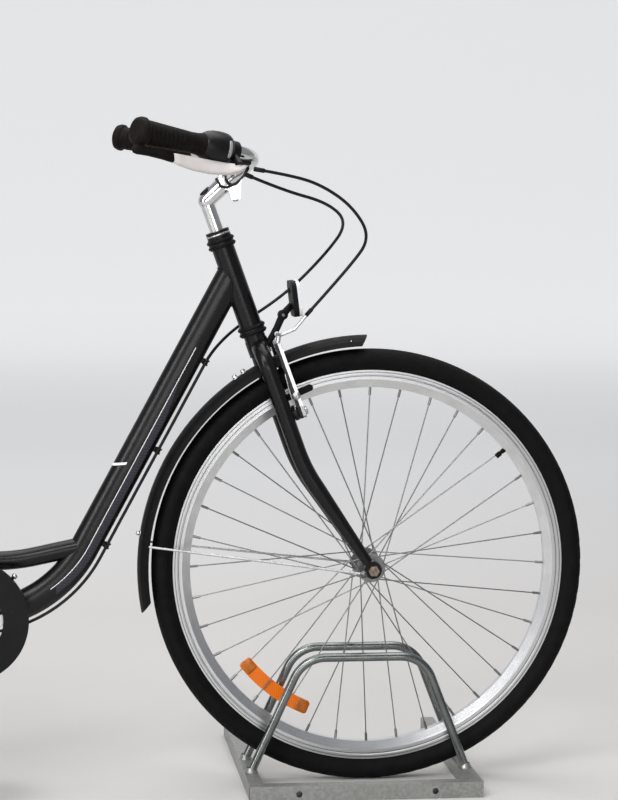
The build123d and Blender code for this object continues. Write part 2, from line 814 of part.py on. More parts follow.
bridge_share = crossing(stay_knee, stay_foot, rear_axle_at, fender_crown + 10)
bridge_at = stay_knee + (stay_foot - stay_knee) * bridge_share
bridge_half = knee_out + (foot_out - knee_out) * bridge_share
bridge_in = (rear_axle_at - bridge_at).normalized()
with BuildPart() as seat_stays:
    for side in (-1, 1):
        stay_line = [seat_stay_top + cross * side * 19, stay_knee + cross * side * knee_out,
                     stay_foot + cross * side * foot_out]
        add(bar(stay_line, 8, 70))
    add(rod(bridge_at - cross * bridge_half, bridge_at + cross * bridge_half, 5))
    add(rod(bridge_at, bridge_at + bridge_in * 14, 6))
    add(cross_rod(rear_x, axle_z, -40, 40, fender_crown), mode=Mode.SUBTRACT)
    add(rod(bb_at, seat_top, seat_radius), mode=Mode.SUBTRACT)
    add(dropouts.part, mode=Mode.SUBTRACT)
save(seat_stays, "seat_stays")

# Saddle
post_top = seat_top + seat_up * post_length
with BuildPart() as seat_clamp:
    add(sleeve(seat_top - seat_up * 12, seat_top + seat_up * 6, 21, seat_radius))
    add(sleeve(seat_top, seat_top + seat_up * 6, 20, post_bore))
save(seat_clamp, "seat_clamp")

rail_z = post_top.Z + 7
saddle_x = post_top.X - front_axle_x - 6
rail_half = 22
with BuildPart() as saddle_rails:
    for side in (-1, 1):
        y = side * rail_half
        add(bar([spot(saddle_x - 90, y, rail_z + 34), spot(saddle_x - 55, y, rail_z),
                 spot(saddle_x + 60, y, rail_z), spot(saddle_x + 118, y * 0.5, rail_z + 34)], 3.5, 22))
save(saddle_rails, "saddle_rails")

with BuildPart() as seatpost:
    add(rod(seat_top - seat_up * 110, post_top, post_bore - 0.05))
    add(cross_rod(saddle_x + 6, rail_z, -30, 30, 11))
    add(saddle_rails.part, mode=Mode.SUBTRACT)
save(seatpost, "seatpost")

with BuildPart() as saddle:
    with BuildSketch(Plane(origin=spot(saddle_x, 0, rail_z + 24))):
        with BuildLine():
            wide = ThreePointArc((-60, 92), (-128, 0), (-60, -92))
            nose = ThreePointArc((128, -20), (140, 0), (128, 20))
            Spline(wide @ 1, (10, -48), nose @ 0)
            Spline(nose @ 1, (10, 48), wide @ 0)
        make_face()
    extrude(amount=44)
    fillet(saddle.faces().sort_by(Axis.Z)[-1].edges(), 16)
    add(saddle_rails.part, mode=Mode.SUBTRACT)
save(saddle, "saddle")

# Rear fender and stays
with BuildPart() as rear_fender:
    add(fender(rear_axle_at, -4, 189, (1.8, 2.8)))
save(rear_fender, "rear_fender")

with BuildPart() as rear_stays:
    for side in (-1, 1):
        low, high = sorted((side * drop_out, side * (drop_out + 6)))
        add(cross_rod(rear_x - 12, axle_z + 14, low, high, 5))
        add(rod(spot(rear_x - 12, side * (drop_out + 3.5), axle_z + 14),
                stay_end(rear_axle_at, 158, side), 2))
    add(rear_fender.part, mode=Mode.SUBTRACT)
save(rear_stays, "rear_fender_stays")

# Rear axle, coaster brake arm
with BuildPart() as rear_axle:
    add(cross_rod(rear_x, axle_z, -86, 86, 5 - running))
    add(cross_rod(rear_x, axle_z, 57.5, 62, 9))
    add(cross_rod(rear_x, axle_z, -drop_in, chain_line - 2.5, 9))
    for side in (-1, 1):
        with BuildSketch(side_plane(side * (drop_out + 5) + 5)):
            with Locations((rear_x, axle_z)):
                RegularPolygon(8.6, 6)
        extrude(amount=10)
save(rear_axle, "rear_axle")

with BuildPart() as coaster_arm:
    arm_line = [(rear_x - 12, axle_z - 10), (rear_x + 140, axle_z - 36), (rear_x + 140, axle_z - 20),
                (rear_x + 10, axle_z + 12), (rear_x - 12, axle_z + 10)]
    add(side_plate(arm_line, 62, drop_in))
    add(cross_rod(rear_x, axle_z, 50, 80, 5), mode=Mode.SUBTRACT)
    add(chain_stays.part, mode=Mode.SUBTRACT)
    add(rear_axle.part, mode=Mode.SUBTRACT)
save(coaster_arm, "coaster_arm")

# Cranks, chainring, pedals
pin_radius = 5.5
window_count = 5


def crank_arm(side, fall):
    """An arm that tapers from the axle to its pedal pin."""
    low, high = sorted((side * 66, side * 78))
    tip = bb_z + fall * crank_length
    with BuildPart() as piece:
        with BuildSketch(side_plane(high)):
            with Locations((bb_x, bb_z)):
                Circle(17)
            with Locations((bb_x, tip)):
                Circle(12.5)
            make_hull()
        extrude(amount=high - low)
        with BuildSketch(side_plane(high if side > 0 else low)):
            with Locations((bb_x, bb_z + fall * crank_length * 0.5)):
                SlotOverall(crank_length * 0.56, 9, rotation=90)
        extrude(amount=3 * side, mode=Mode.SUBTRACT)
        add(cross_rod(bb_x, tip, *sorted((side * 70, side * 172)), pin_radius))
    return piece.part


def ring_window(number):
    """An opening between two arms of the chainring."""
    outline = []
    # turn from the window's middle, radius
    for turn, radius in ((-22, 32), (-27, 62), (-9, 65), (9, 65), (27, 62), (22, 32)):
        angle = radians(turn + 360 * (number + 0.5) / window_count)
        outline.append((bb_x + radius * cos(angle), bb_z + radius * sin(angle)))
    return side_plate(outline, chain_line - 5, chain_line + 5)


with BuildPart() as crankset:
    add(toothed(bb_x, bb_z, ring_pitch, ring_teeth))
    for number in range(window_count):
        add(ring_window(number), mode=Mode.SUBTRACT)
    add(cross_rod(bb_x, bb_z, -80, 80, 9 - running))
    add(cross_rod(bb_x, bb_z, -68, chain_line, 24))
    add(crank_arm(-1, -1))
    add(crank_arm(1, 1))
save(crankset, "crankset")

pedal_long = 92
pedal_tall = 24


def pedal(side, fall):
    """A city pedal: barrel, two rubber treads and end plates, turning on its pin."""
    tip = bb_z + fall * crank_length
    with BuildPart() as piece:
        add(cross_rod(bb_x, tip, *sorted((side * 84, side * 173)), 11))
        for ahead in (-1, 1):
            add(block(bb_x + ahead * 33, side * 129, tip, 24, 80, pedal_tall))
            for share in (-0.3, -0.1, 0.1, 0.3):
                for up in (-1, 1):
                    add(block(bb_x + ahead * 33, side * 129 + share * 88, tip + up * pedal_tall / 2, 30, 3, 4),
                        mode=Mode.SUBTRACT)
        for inner in (85, 168):
            low, high = sorted((side * inner, side * (inner + 5)))
            with BuildSketch(side_plane(high)):
                with Locations((bb_x, tip)):
                    SlotOverall(pedal_long, pedal_tall)
            extrude(amount=5)
        add(cross_rod(bb_x, tip, *sorted((side * 80, side * 172.5)), pin_radius + running), mode=Mode.SUBTRACT)
    return piece.part


with BuildPart() as pedal_right:
    add(pedal(-1, -1))
save(pedal_right, "pedal_right")

with BuildPart() as pedal_left:
    add(pedal(1, 1))
save(pedal_left, "pedal_left")

# Chain: pins along the loop, a row of inner plates a side, outer plates on every other link
run_open = asin((ring_pitch - cog_pitch) / drive_centres)
run_tilt = pi - asin(bb_drop / drive_centres)
run_length = drive_centres * cos(run_open)
top_turn = run_tilt - (pi / 2 - run_open)
low_turn = run_tilt + (pi / 2 - run_open)
cog_arc = cog_pitch * (low_turn - top_turn)
ring_arc = ring_pitch * (2 * pi - low_turn + top_turn)
link_run = (2 * run_length + cog_arc + ring_arc) / chain_links
plate_half = 4.3
plate_end = 4.6
plate_thick = 1
plate_in = tooth_half + 0.3


def on_wheel(x, z, radius, turn):
    """A point of a pitch circle and the way out from it."""
    out = Vector(cos(turn), 0, sin(turn))
    return spot(x, 0, z) + out * radius, out


def chain_pin(number):
    """A pin of the chain and the way out of the loop there, from the top of the ring backward."""
    along = number * link_run
    if along < run_length:
        at, out = on_wheel(bb_x, bb_z, ring_pitch, top_turn)
        back = on_wheel(rear_x, axle_z, cog_pitch, top_turn)[0]
        return at + (back - at) * (along / run_length), out
    along -= run_length
    if along < cog_arc:
        return on_wheel(rear_x, axle_z, cog_pitch, top_turn + along / cog_pitch)
    along -= cog_arc
    if along < run_length:
        at, out = on_wheel(rear_x, axle_z, cog_pitch, low_turn)
        ahead = on_wheel(bb_x, bb_z, ring_pitch, low_turn)[0]
        return at + (ahead - at) * (along / run_length), out
    return on_wheel(bb_x, bb_z, ring_pitch, low_turn + (along - run_length) / ring_pitch)


def flat(at):
    """A point's place in the side view."""
    return at.X - front_axle_x, at.Z


pins = [chain_pin(number) for number in range(chain_links)]
bent = [number for number in range(chain_links)
        if (pins[number][1] - pins[number - 1][1]).length > 0.01
        or (pins[(number + 1) % chain_links][1] - pins[number][1]).length > 0.01]


def inner_plates(y_low, y_high):
    """One row of inner plates as a closed band through the pins."""
    with BuildPart() as piece:
        for grow, mode in ((plate_half, Mode.ADD), (-plate_half, Mode.SUBTRACT)):
            edge = [flat(pins[number][0] + pins[number][1] * grow) for number in bent]
            add(side_plate(edge, y_low, y_high), mode=mode)
    return piece.part


def outer_plates(y_low, y_high):
    """The outer plates of every other link: six-sided in the open lower run, plain elsewhere."""
    plates = []
    for number in range(0, chain_links, 2):
        start = pins[number][0]
        run = pins[number + 1][0] - start
        reach = run.normalized()
        up = reach.cross(cross)
        in_view = run_length + cog_arc < number * link_run < 2 * run_length + cog_arc
        end = plate_end if in_view else plate_end - 1.4
        # past the pins along the link, up from them
        corners = [(-1.5, 1), (run.length + 1.5, 1), (run.length + end, 0), (run.length + 1.5, -1),
                   (-1.5, -1), (-end, 0)]
        if not in_view:
            corners = [(-end, 1), (run.length + end, 1), (run.length + end, -1), (-end, -1)]
        outline = [flat(start + reach * along + up * (rise * plate_half)) for along, rise in corners]
        plates.append(side_plate(outline, y_low, y_high))
    return plates


roller_pins = [number for number in range(chain_links) if number % 16 == 5 and number not in bent]
with BuildPart() as chain:
    add(inner_plates(chain_line + plate_in, chain_line + plate_in + plate_thick))
    add(inner_plates(chain_line - plate_in - plate_thick, chain_line - plate_in))
    for number in roller_pins:
        with BuildSketch(side_plane(chain_line + plate_in + 0.5)):
            with Locations(flat(pins[number][0])):
                RegularPolygon(3.6, 6)
        extrude(amount=2 * plate_in + 1)
    plate_out = plate_in + plate_thick
    add(outer_plates(chain_line + plate_out, chain_line + plate_out + plate_thick))
    add(outer_plates(chain_line - plate_out - plate_thick, chain_line - plate_out))
save(chain, "chain")

guard_out = 97
guard_open = 57
with BuildPart() as chain_guard:
    with BuildSketch(side_plane(-58)):
        with Locations((bb_x, bb_z)):
            Circle(guard_out)
        with BuildLine():
            Polyline((bb_x - 20, bb_z + guard_out - 3), (rear_x + 80, axle_z + 50),
                     (rear_x + 52, axle_z + 44), (rear_x + 52, axle_z + 24), (bb_x - 70, bb_z - 40),
                     close=True)
        make_face()
        with Locations((bb_x, bb_z)):
            Circle(guard_open, mode=Mode.SUBTRACT)
    extrude(amount=2)
    with BuildSketch(side_plane(-46)):
        with Locations((bb_x, bb_z)):
            Circle(guard_out)
            Circle(guard_out - 2, mode=Mode.SUBTRACT)
        with Locations((bb_x - 100, bb_z)):
            Rectangle(200, 400, mode=Mode.SUBTRACT)
    extrude(amount=12)
    add(cross_rod(bb_x - 112, bb_z + 18, -58, -36, 5))
    add(chain_stays.part, mode=Mode.SUBTRACT)
save(chain_guard, "chain_guard")

# Gear cable along the frame with its clips
cable_drop = 30
below = Vector(-down_fall.Z, 0, down_fall.X)
with BuildPart() as frame_cable:
    run_start = down_top + below * cable_drop + down_fall * 140
    corner = down_corner + Vector(cable_drop * tan(down_half_turn), 0, -cable_drop)
    add(bar([run_start, corner, spot(bb_x - 10, 0, bb_z - cable_drop)], cable_radius, down_bend + cable_drop))
save(frame_cable, "gear_cable_frame")

gear_cable_start = clamp_at + Vector(7, -190, 7)
with BuildPart() as gear_loop:
    add(cable(gear_cable_start, run_start, gear_loop_bow))
    add(shifter.part, mode=Mode.SUBTRACT)
    add(frame_cable.part, mode=Mode.SUBTRACT)
save(gear_loop, "gear_cable_loop")

clip_runs = (160, 275, 390)
with BuildPart() as cable_clips:
    for run in clip_runs:
        at = down_top + down_fall * run + below * cable_drop
        with BuildSketch(Plane(origin=at, x_dir=cross, z_dir=down_fall)):
            Rectangle(14, 18)
        extrude(amount=6, both=True)
    add(swept_tube(down_path, tube_tall, tube_wide, down_bend), mode=Mode.SUBTRACT)
    add(frame_cable.part, mode=Mode.SUBTRACT)
save(cable_clips, "cable_clips")

# Rear reflector
with BuildPart() as rear_reflector:
    tail = Vector(cos(radians(152)), 0, sin(radians(152)))
    at = rear_axle_at + tail * (fender_crown + 12)
    with BuildSketch(Plane(origin=at, x_dir=cross, z_dir=(-1, 0, 0))):
        RectangleRounded(64, 40, 10)
    extrude(amount=12, both=True)
    add(cross_rod(rear_x, axle_z, -60, 60, fender_crown), mode=Mode.SUBTRACT)
save(rear_reflector, "rear_reflector")

# Floor rack
rack_back = -203
rack_front = 167
rack_near = -140
rack_far = 310
bar_wide = 22
bar_tall = 25
rack_wall = 3
hole_x = (-126, 90)


def channel(x_low, x_high, y_low, y_high, along_x):
    """A folded bar, open below."""
    middle = ((x_low + x_high) / 2, (y_low + y_high) / 2)
    long_cut = 2 if along_x else -2 * rack_wall
    wide_cut = -2 * rack_wall if along_x else 2
    with BuildPart() as piece:
        with Locations(spot(middle[0], middle[1], bar_tall / 2)):
            Box(x_high - x_low, y_high - y_low, bar_tall)
        with Locations(spot(middle[0], middle[1], (bar_tall - rack_wall) / 2)):
            Box(x_high - x_low + long_cut, y_high - y_low + wide_cut, bar_tall - rack_wall,
                mode=Mode.SUBTRACT)
    return piece.part


with BuildPart() as cross_bar:
    add(channel(rack_back, rack_front, rack_near, rack_near + bar_wide, True))
    for x in hole_x:
        add(cross_rod(x, 12, rack_near - 5, rack_near + 6, 5), mode=Mode.SUBTRACT)
save(cross_bar, "rack_cross_bar")

with BuildPart() as side_bars:
    add(channel(rack_back, rack_back + bar_wide, rack_near + bar_wide, rack_far, False))
    add(channel(rack_front - bar_wide, rack_front, rack_near + bar_wide, rack_far, False))
save(side_bars, "rack_side_bars")


def hoop(y):
    """A bent tube that stands on both side bars."""
    rear_foot = rack_back + bar_wide / 2
    front_foot = rack_front - bar_wide / 2
    return bar([spot(rear_foot, y, bar_tall), spot(-109, y, 208), spot(85, y, 208),
                spot(front_foot, y, bar_tall)], 7, 55)


with BuildPart() as hoop_right:
    add(hoop(-44))
    add(block(0, 0, 0, 900, 900, bar_tall * 2), mode=Mode.SUBTRACT)
save(hoop_right, "rack_hoop_right")

with BuildPart() as hoop_left:
    add(hoop(44))
    add(block(0, 0, 0, 900, 900, bar_tall * 2), mode=Mode.SUBTRACT)
save(hoop_left, "rack_hoop_left")
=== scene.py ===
"""A step-through city bicycle in a floor rack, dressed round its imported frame."""
import math

import bmesh
import bpy
from mathutils import Matrix, Vector


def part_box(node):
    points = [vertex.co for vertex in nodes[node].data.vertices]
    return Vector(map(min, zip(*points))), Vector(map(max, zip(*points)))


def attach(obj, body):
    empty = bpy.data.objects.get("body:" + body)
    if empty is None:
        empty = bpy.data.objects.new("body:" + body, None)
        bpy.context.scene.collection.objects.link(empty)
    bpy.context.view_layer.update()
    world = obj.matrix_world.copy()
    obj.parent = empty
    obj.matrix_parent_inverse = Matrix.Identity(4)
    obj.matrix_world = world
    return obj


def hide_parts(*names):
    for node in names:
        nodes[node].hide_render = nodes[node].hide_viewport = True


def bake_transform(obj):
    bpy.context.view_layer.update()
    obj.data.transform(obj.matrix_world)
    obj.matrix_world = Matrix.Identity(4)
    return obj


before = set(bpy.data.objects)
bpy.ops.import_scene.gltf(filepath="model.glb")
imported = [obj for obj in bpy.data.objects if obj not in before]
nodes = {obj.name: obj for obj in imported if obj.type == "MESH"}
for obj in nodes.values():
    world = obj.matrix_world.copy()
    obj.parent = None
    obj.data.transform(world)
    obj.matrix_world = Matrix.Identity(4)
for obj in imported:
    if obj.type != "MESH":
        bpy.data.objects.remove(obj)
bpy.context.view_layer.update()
scene = bpy.context.scene
scene.view_settings.view_transform = "Standard"

# Places, in metres
FRONT_X, REAR_X, AXLE_Z = 0.561, -0.539, 0.350
FRONT_AXLE = Vector((FRONT_X, 0, AXLE_Z))
REAR_AXLE = Vector((REAR_X, 0, AXLE_Z))
STAY_RUN, BB_HEIGHT = 0.45938, 0.277
BB = Vector((REAR_X + STAY_RUN, 0, BB_HEIGHT))
HEAD_ANGLE = math.radians(70)
UP_AXIS = Vector((-math.cos(HEAD_ANGLE), 0, math.sin(HEAD_ANGLE)))
AHEAD = Vector((math.sin(HEAD_ANGLE), 0, math.cos(HEAD_ANGLE)))
RAKE = 49  # in millimetres
FOOT = FRONT_AXLE - AHEAD * (RAKE / 1000)


def steer(s, ahead=0.0, aside=0.0):
    """A point up the steering axis, in metres from millimetres."""
    return FOOT + UP_AXIS * (s / 1000) + AHEAD * (ahead / 1000) + Vector((0, aside / 1000, 0))


# stations up the steering axis, in millimetres
CROWN_LOW = math.sqrt(383 ** 2 - RAKE ** 2)
LOWER_CUP = CROWN_LOW + 34
HEAD_LOW = LOWER_CUP + 16
HEAD_TOP = HEAD_LOW + 130
NUT_TOP = HEAD_TOP + 28
BOSS_S = math.sqrt(305.5 ** 2 - 23 ** 2) - 28
CLAMP = steer(NUT_TOP + 50) + Vector((0.036, 0, 0.035))

# down tube: straight from the head, then bent back to the bottom bracket
DOWN_TOP = steer(HEAD_TOP - 43.5)
DOWN_CORNER = BB + Vector((0.12837, 0, 0))
DOWN_TURN = BB + Vector((0.1856, 0, 0.107))
DOWN_FALL = (DOWN_TURN - DOWN_TOP).normalized()
DOWN_BELOW = Vector((-DOWN_FALL.z, 0, DOWN_FALL.x))
BEND_HALF = math.atan2(-DOWN_FALL.z, -DOWN_FALL.x) / 2
BEND_RADIUS = 0.98 * (DOWN_CORNER.x - BB.x - 0.008) / math.tan(BEND_HALF)
BEND_START = (DOWN_CORNER - DOWN_TOP).length - BEND_RADIUS * math.tan(BEND_HALF)
BEND_CENTRE = DOWN_TOP + DOWN_FALL * BEND_START - DOWN_BELOW * BEND_RADIUS


# Materials
class Sheet:
    """A small helper that lays out one material's nodes."""

    def __init__(self, name):
        self.mat = bpy.data.materials.new(name)
        self.mat.use_nodes = True
        self.tree = self.mat.node_tree
        self.shader = self.tree.nodes["Principled BSDF"]
        self.coords = self.tree.nodes.new("ShaderNodeTexCoord")

    def node(self, kind, **values):
        made = self.tree.nodes.new("ShaderNode" + kind)
        for key, value in values.items():
            setattr(made, key, value)
        return made

    def link(self, source, target):
        self.tree.links.new(source, target)

    def feed(self, socket, source):
        self.link(source, self.shader.inputs[socket])

    def noise(self, scale, detail=3.0, rough=0.55, stretch=None):
        made = self.node("TexNoise")
        made.inputs["Scale"].default_value = scale
        made.inputs["Detail"].default_value = detail
        made.inputs["Roughness"].default_value = rough
        self.link(self.place(stretch), made.inputs["Vector"])
        return made.outputs["Fac"]

    def place(self, stretch=None):
        if stretch is None:
            return self.coords.outputs["Object"]
        spread = self.node("Mapping")
        spread.inputs["Scale"].default_value = stretch
        self.link(self.coords.outputs["Object"], spread.inputs["Vector"])
        return spread.outputs["Vector"]

    def ramp(self, source, low, high, start=0.3, end=0.7):
        made = self.node("ValToRGB")
        made.color_ramp.elements[0].position = start
        made.color_ramp.elements[1].position = end
        made.color_ramp.elements[0].color = (*low, 1)
        made.color_ramp.elements[1].color = (*high, 1)
        self.link(source, made.inputs["Fac"])
        return made.outputs["Color"]

    def spread(self, source, low, high, start=0.0, end=1.0):
        made = self.node("MapRange")
        made.inputs["From Min"].default_value = start
        made.inputs["From Max"].default_value = end
        made.inputs["To Min"].default_value = low
        made.inputs["To Max"].default_value = high
        self.link(source, made.inputs["Value"])
        return made.outputs["Result"]

    def math(self, kind, *values):
        made = self.node("Math", operation=kind)
        for socket, value in zip(made.inputs, values):
            if isinstance(value, (int, float)):
                socket.default_value = value
            else:
                self.link(value, socket)
        return made.outputs["Value"]

    def plus(self, a, b):
        return self.math("ADD", a, b)

    def minus(self, a, b):
        return self.math("SUBTRACT", a, b)

    def times(self, a, b):
        return self.math("MULTIPLY", a, b)

    def above(self, a, b):
        return self.math("GREATER_THAN", a, b)

    def under(self, a, b):
        return self.math("LESS_THAN", a, b)

    def mix(self, share, low, high):
        made = self.node("Mix", data_type="RGBA")
        self.link(share, made.inputs["Factor"])
        for socket, value in (("A", low), ("B", high)):
            target = [i for i in made.inputs if i.name == socket and i.type == "RGBA"][0]
            if isinstance(value, tuple):
                target.default_value = (*value, 1)
            else:
                self.link(value, target)
        return [o for o in made.outputs if o.type == "RGBA"][0]

    def bump(self, source, strength, distance=0.0004, before=None):
        made = self.node("Bump")
        made.inputs["Strength"].default_value = strength
        made.inputs["Distance"].default_value = distance
        self.link(source, made.inputs["Height"])
        if before is not None:
            self.link(before, made.inputs["Normal"])
        self.feed("Normal", made.outputs["Normal"])
        return made.outputs["Normal"]

    def rough(self, scale, low, high, start=0.0, end=1.0):
        self.feed("Roughness", self.spread(self.noise(scale), low, high, start, end))

    def axes(self):
        parts = self.node("SeparateXYZ")
        self.link(self.coords.outputs["Object"], parts.inputs["Vector"])
        return parts.outputs["X"], parts.outputs["Y"], parts.outputs["Z"]

    def set(self, **values):
        for key, value in values.items():
            self.shader.inputs[key.replace("_", " ")].default_value = value


def tint(colour, factor):
    return tuple(min(1.0, c * factor) for c in colour)


def surface(name, colour, rough, metal, grain, vary, relief_scale, relief, gloss=0.5, uneven=0.08):
    """A finish with uneven tone, uneven gloss and a fine relief."""
    sheet = Sheet(name)
    sheet.feed("Base Color", sheet.ramp(sheet.noise(grain), tint(colour, 1 - vary), tint(colour, 1 + vary)))
    sheet.rough(grain * 2.3, rough - uneven, rough + uneven, 0.3, 0.7)
    sheet.bump(sheet.noise(relief_scale, 2.0), relief)
    sheet.set(Metallic=metal, Specular_IOR_Level=gloss)
    return sheet.mat


# name, colour, roughness, metal, scale and unevenness of the tone, scale of the relief, relief,
# and where they aren't the usual ones gloss and unevenness of the roughness
PLAIN_FINISHES = (
    ("black_paint", (0.0040, 0.0039, 0.0045), 0.27, 0, 25, 0.20, 1600, 0.04, 0.27, 0.04),
    ("moulded_plastic", (0.0050, 0.0048, 0.0050), 0.34, 0, 40, 0.25, 2600, 0.18, 0.28),
    ("satin_black", (0.0050, 0.0050, 0.0053), 0.38, 0, 80, 0.20, 2000, 0.10, 0.24),
    ("grip_rubber", (0.0066, 0.0048, 0.0042), 0.60, 0, 90, 0.25, 2200, 0.35, 0.10),
    ("polished_alloy", (0.72, 0.72, 0.73), 0.17, 1, 30, 0.05, 1200, 0.03),
    ("satin_alloy", (0.62, 0.62, 0.63), 0.32, 1, 45, 0.07, 1500, 0.06),
    ("spoke_steel", (0.24, 0.24, 0.245), 0.34, 1, 45, 0.10, 1500, 0.04),
    ("zinc_steel", (0.56, 0.56, 0.57), 0.30, 1, 70, 0.10, 1800, 0.06),
    ("lever_alloy", (0.63, 0.59, 0.57), 0.48, 0.1, 50, 0.05, 1800, 0.06, 0.35),
    ("fender_plastic", (0.0050, 0.0048, 0.0052), 0.50, 0, 40, 0.25, 2600, 0.16, 0.10),
    ("reflector_black", (0.0045, 0.0045, 0.0048), 0.52, 0, 60, 0.20, 2200, 0.15, 0.12),
    ("indicator_grey", (0.30, 0.30, 0.31), 0.35, 0, 300, 0.25, 2500, 0.10),
    ("amber_dark", (0.42, 0.11, 0.006), 0.20, 0, 120, 0.25, 900, 0.30, 0.35),
    ("aged_nut", (0.30, 0.22, 0.15), 0.40, 1, 160, 0.30, 2500, 0.15),
    ("dark_steel", (0.20, 0.19, 0.18), 0.36, 1, 200, 0.25, 2500, 0.10),
    ("cable_housing", (0.0045, 0.0045, 0.0047), 0.36, 0, 120, 0.20, 3000, 0.05, 0.28),
    ("saddle_cover", (0.0075, 0.0075, 0.0078), 0.48, 0, 60, 0.20, 1400, 0.40, 0.25),
    ("amber_plastic", (0.80, 0.20, 0.01), 0.22, 0, 50, 0.10, 900, 0.30, 0.30),
)
(paint, plastic, satin_black, rubber, polished, satin_alloy, spoke_steel, zinc, lever_alloy, fender_plastic,
 reflector_black, indicator_grey, amber_dark, nut_steel, dark_steel, housing, cover,
 amber) = [surface(*row) for row in PLAIN_FINISHES]


def galvanised_finish():
    """Zinc coating with its crystals and dull drifts."""
    sheet = Sheet("galvanised_steel")
    cells = sheet.node("TexVoronoi")
    cells.inputs["Scale"].default_value = 220
    sheet.link(sheet.place(), cells.inputs["Vector"])
    grey = sheet.node("SeparateColor")
    sheet.link(cells.outputs["Color"], grey.inputs["Color"])
    crystal = sheet.ramp(grey.outputs["Red"], (0.265, 0.268, 0.256), (0.35, 0.353, 0.337), 0.0, 1.0)
    drift = sheet.noise(18, 4.0)
    dull = sheet.spread(drift, 0.0, 0.55, 0.4, 0.75)
    sheet.feed("Base Color", sheet.mix(dull, crystal, (0.33, 0.333, 0.317)))
    sheet.feed("Roughness", sheet.spread(grey.outputs["Green"], 0.36, 0.52))
    sheet.bump(sheet.noise(500, 3.0), 0.12, 0.0005)
    sheet.set(Metallic=0.85)
    return sheet.mat


def hoop_finish():
    """Bright drawn tube with a thin zinc coat."""
    sheet = Sheet("plated_tube")
    drift = sheet.noise(30, 4.0)
    sheet.feed("Base Color", sheet.ramp(drift, (0.15, 0.161, 0.158), (0.235, 0.247, 0.242)))
    sheet.rough(140, 0.17, 0.30, 0.3, 0.7)
    sheet.bump(sheet.noise(420, 3.0), 0.05)
    sheet.set(Metallic=1.0)
    return sheet.mat


def guard_finish():
    """Black moulded plastic with fine pale scuffs."""
    sheet = Sheet("scuffed_plastic")
    cloud = sheet.ramp(sheet.noise(40), (0.0040, 0.0038, 0.0040), (0.0062, 0.0060, 0.0062))
    scuffs = sheet.noise(26, 6.0, 0.75, (9.0, 1.0, 2.2))
    share = sheet.spread(scuffs, 0.0, 0.8, 0.635, 0.70)
    sheet.feed("Base Color", sheet.mix(share, cloud, (0.030, 0.029, 0.029)))
    sheet.rough(90, 0.40, 0.54)
    sheet.bump(sheet.noise(2400, 2.0), 0.15)
    sheet.set(Specular_IOR_Level=0.18)
    return sheet.mat


def lens_finish(name, colour, back):
    """A prismatic reflector lens with a grid of small corner cubes."""
    sheet = Sheet(name)
    cells = sheet.node("TexVoronoi", distance="CHEBYCHEV")
    cells.inputs["Scale"].default_value = 330
    cells.inputs["Randomness"].default_value = 0.0
    sheet.link(sheet.place(), cells.inputs["Vector"])
    sheet.feed("Base Color", sheet.ramp(cells.outputs["Distance"], colour, back, 0.1, 0.62))
    sheet.rough(60, 0.10, 0.22)
    sheet.bump(cells.outputs["Distance"], 0.5, 0.0008)
    sheet.set(Coat_Weight=0.10, Coat_Roughness=0.06, Specular_IOR_Level=0.25)
    return sheet.mat


def radius_from(sheet, centre):
    """Distance from a wheel's axle line, in metres."""
    x, _, z = sheet.axes()
    dx = sheet.minus(x, centre.x)
    dz = sheet.minus(z, centre.z)
    return sheet.math("SQRT", sheet.plus(sheet.times(dx, dx), sheet.times(dz, dz)))


def along(sheet, start, direction):
    """Distance from a point along a direction in the bicycle's middle plane, in metres."""
    x, _, z = sheet.axes()
    dx = sheet.times(sheet.minus(x, start.x), direction.x)
    dz = sheet.times(sheet.minus(z, start.z), direction.z)
    return sheet.plus(dx, dz)


def rim_finish(name, centre):
    """Bright rim: machined brake tracks with turned lines, a satin spoke bed, and thin dark lines of painted
    shade in a recess and at its edge against the tyre.
    """
    sheet = Sheet(name)
    away = radius_from(sheet, centre)
    rings = sheet.node("TexNoise", noise_dimensions="1D")
    rings.inputs["Scale"].default_value = 1500
    rings.inputs["Detail"].default_value = 2
    sheet.link(away, rings.inputs["W"])
    turned = sheet.ramp(rings.outputs["Fac"], (0.53, 0.532, 0.54), (0.70, 0.703, 0.712), 0.35, 0.65)
    bed = sheet.ramp(sheet.noise(40), (0.60, 0.603, 0.612), (0.68, 0.683, 0.692))
    on_track = sheet.spread(away, 0.0, 1.0, 0.3005, 0.3012)
    bare = sheet.mix(on_track, bed, turned)
    # painted shade: two thin dark lines, in a recess of the rim and at its edge against the tyre
    for shade_line_radius in (0.3066, 0.3126):
        painted_shade_line = sheet.under(sheet.math("ABSOLUTE", sheet.minus(away, shade_line_radius)), 0.0006)
        bare = sheet.mix(painted_shade_line, bare, (0.16, 0.16, 0.17))
    sheet.feed("Base Color", bare)
    sheet.feed("Roughness", sheet.spread(rings.outputs["Fac"], 0.22, 0.36))
    sheet.bump(rings.outputs["Fac"], 0.10, 0.0003)
    sheet.set(Metallic=1.0)
    return sheet.mat


def tyre_finish(name, centre):
    """Rubber with moulded rings on the walls and a dusty crown."""
    sheet = Sheet(name)
    away = radius_from(sheet, centre)
    dust = sheet.spread(away, 0.0, 0.35, 0.343, 0.351)
    cloud = sheet.ramp(sheet.noise(60), (0.0040, 0.0036, 0.0037), (0.0068, 0.0062, 0.0061))
    sheet.feed("Base Color", sheet.mix(dust, cloud, (0.014, 0.013, 0.012)))
    sheet.rough(150, 0.58, 0.74)
    rings = sheet.math("SINE", sheet.times(away, 2100.0))
    first = sheet.bump(rings, 0.10, 0.0003)
    sheet.bump(sheet.noise(1600, 2.0), 0.25, 0.0004, first)
    sheet.set(Specular_IOR_Level=0.08)
    return sheet.mat


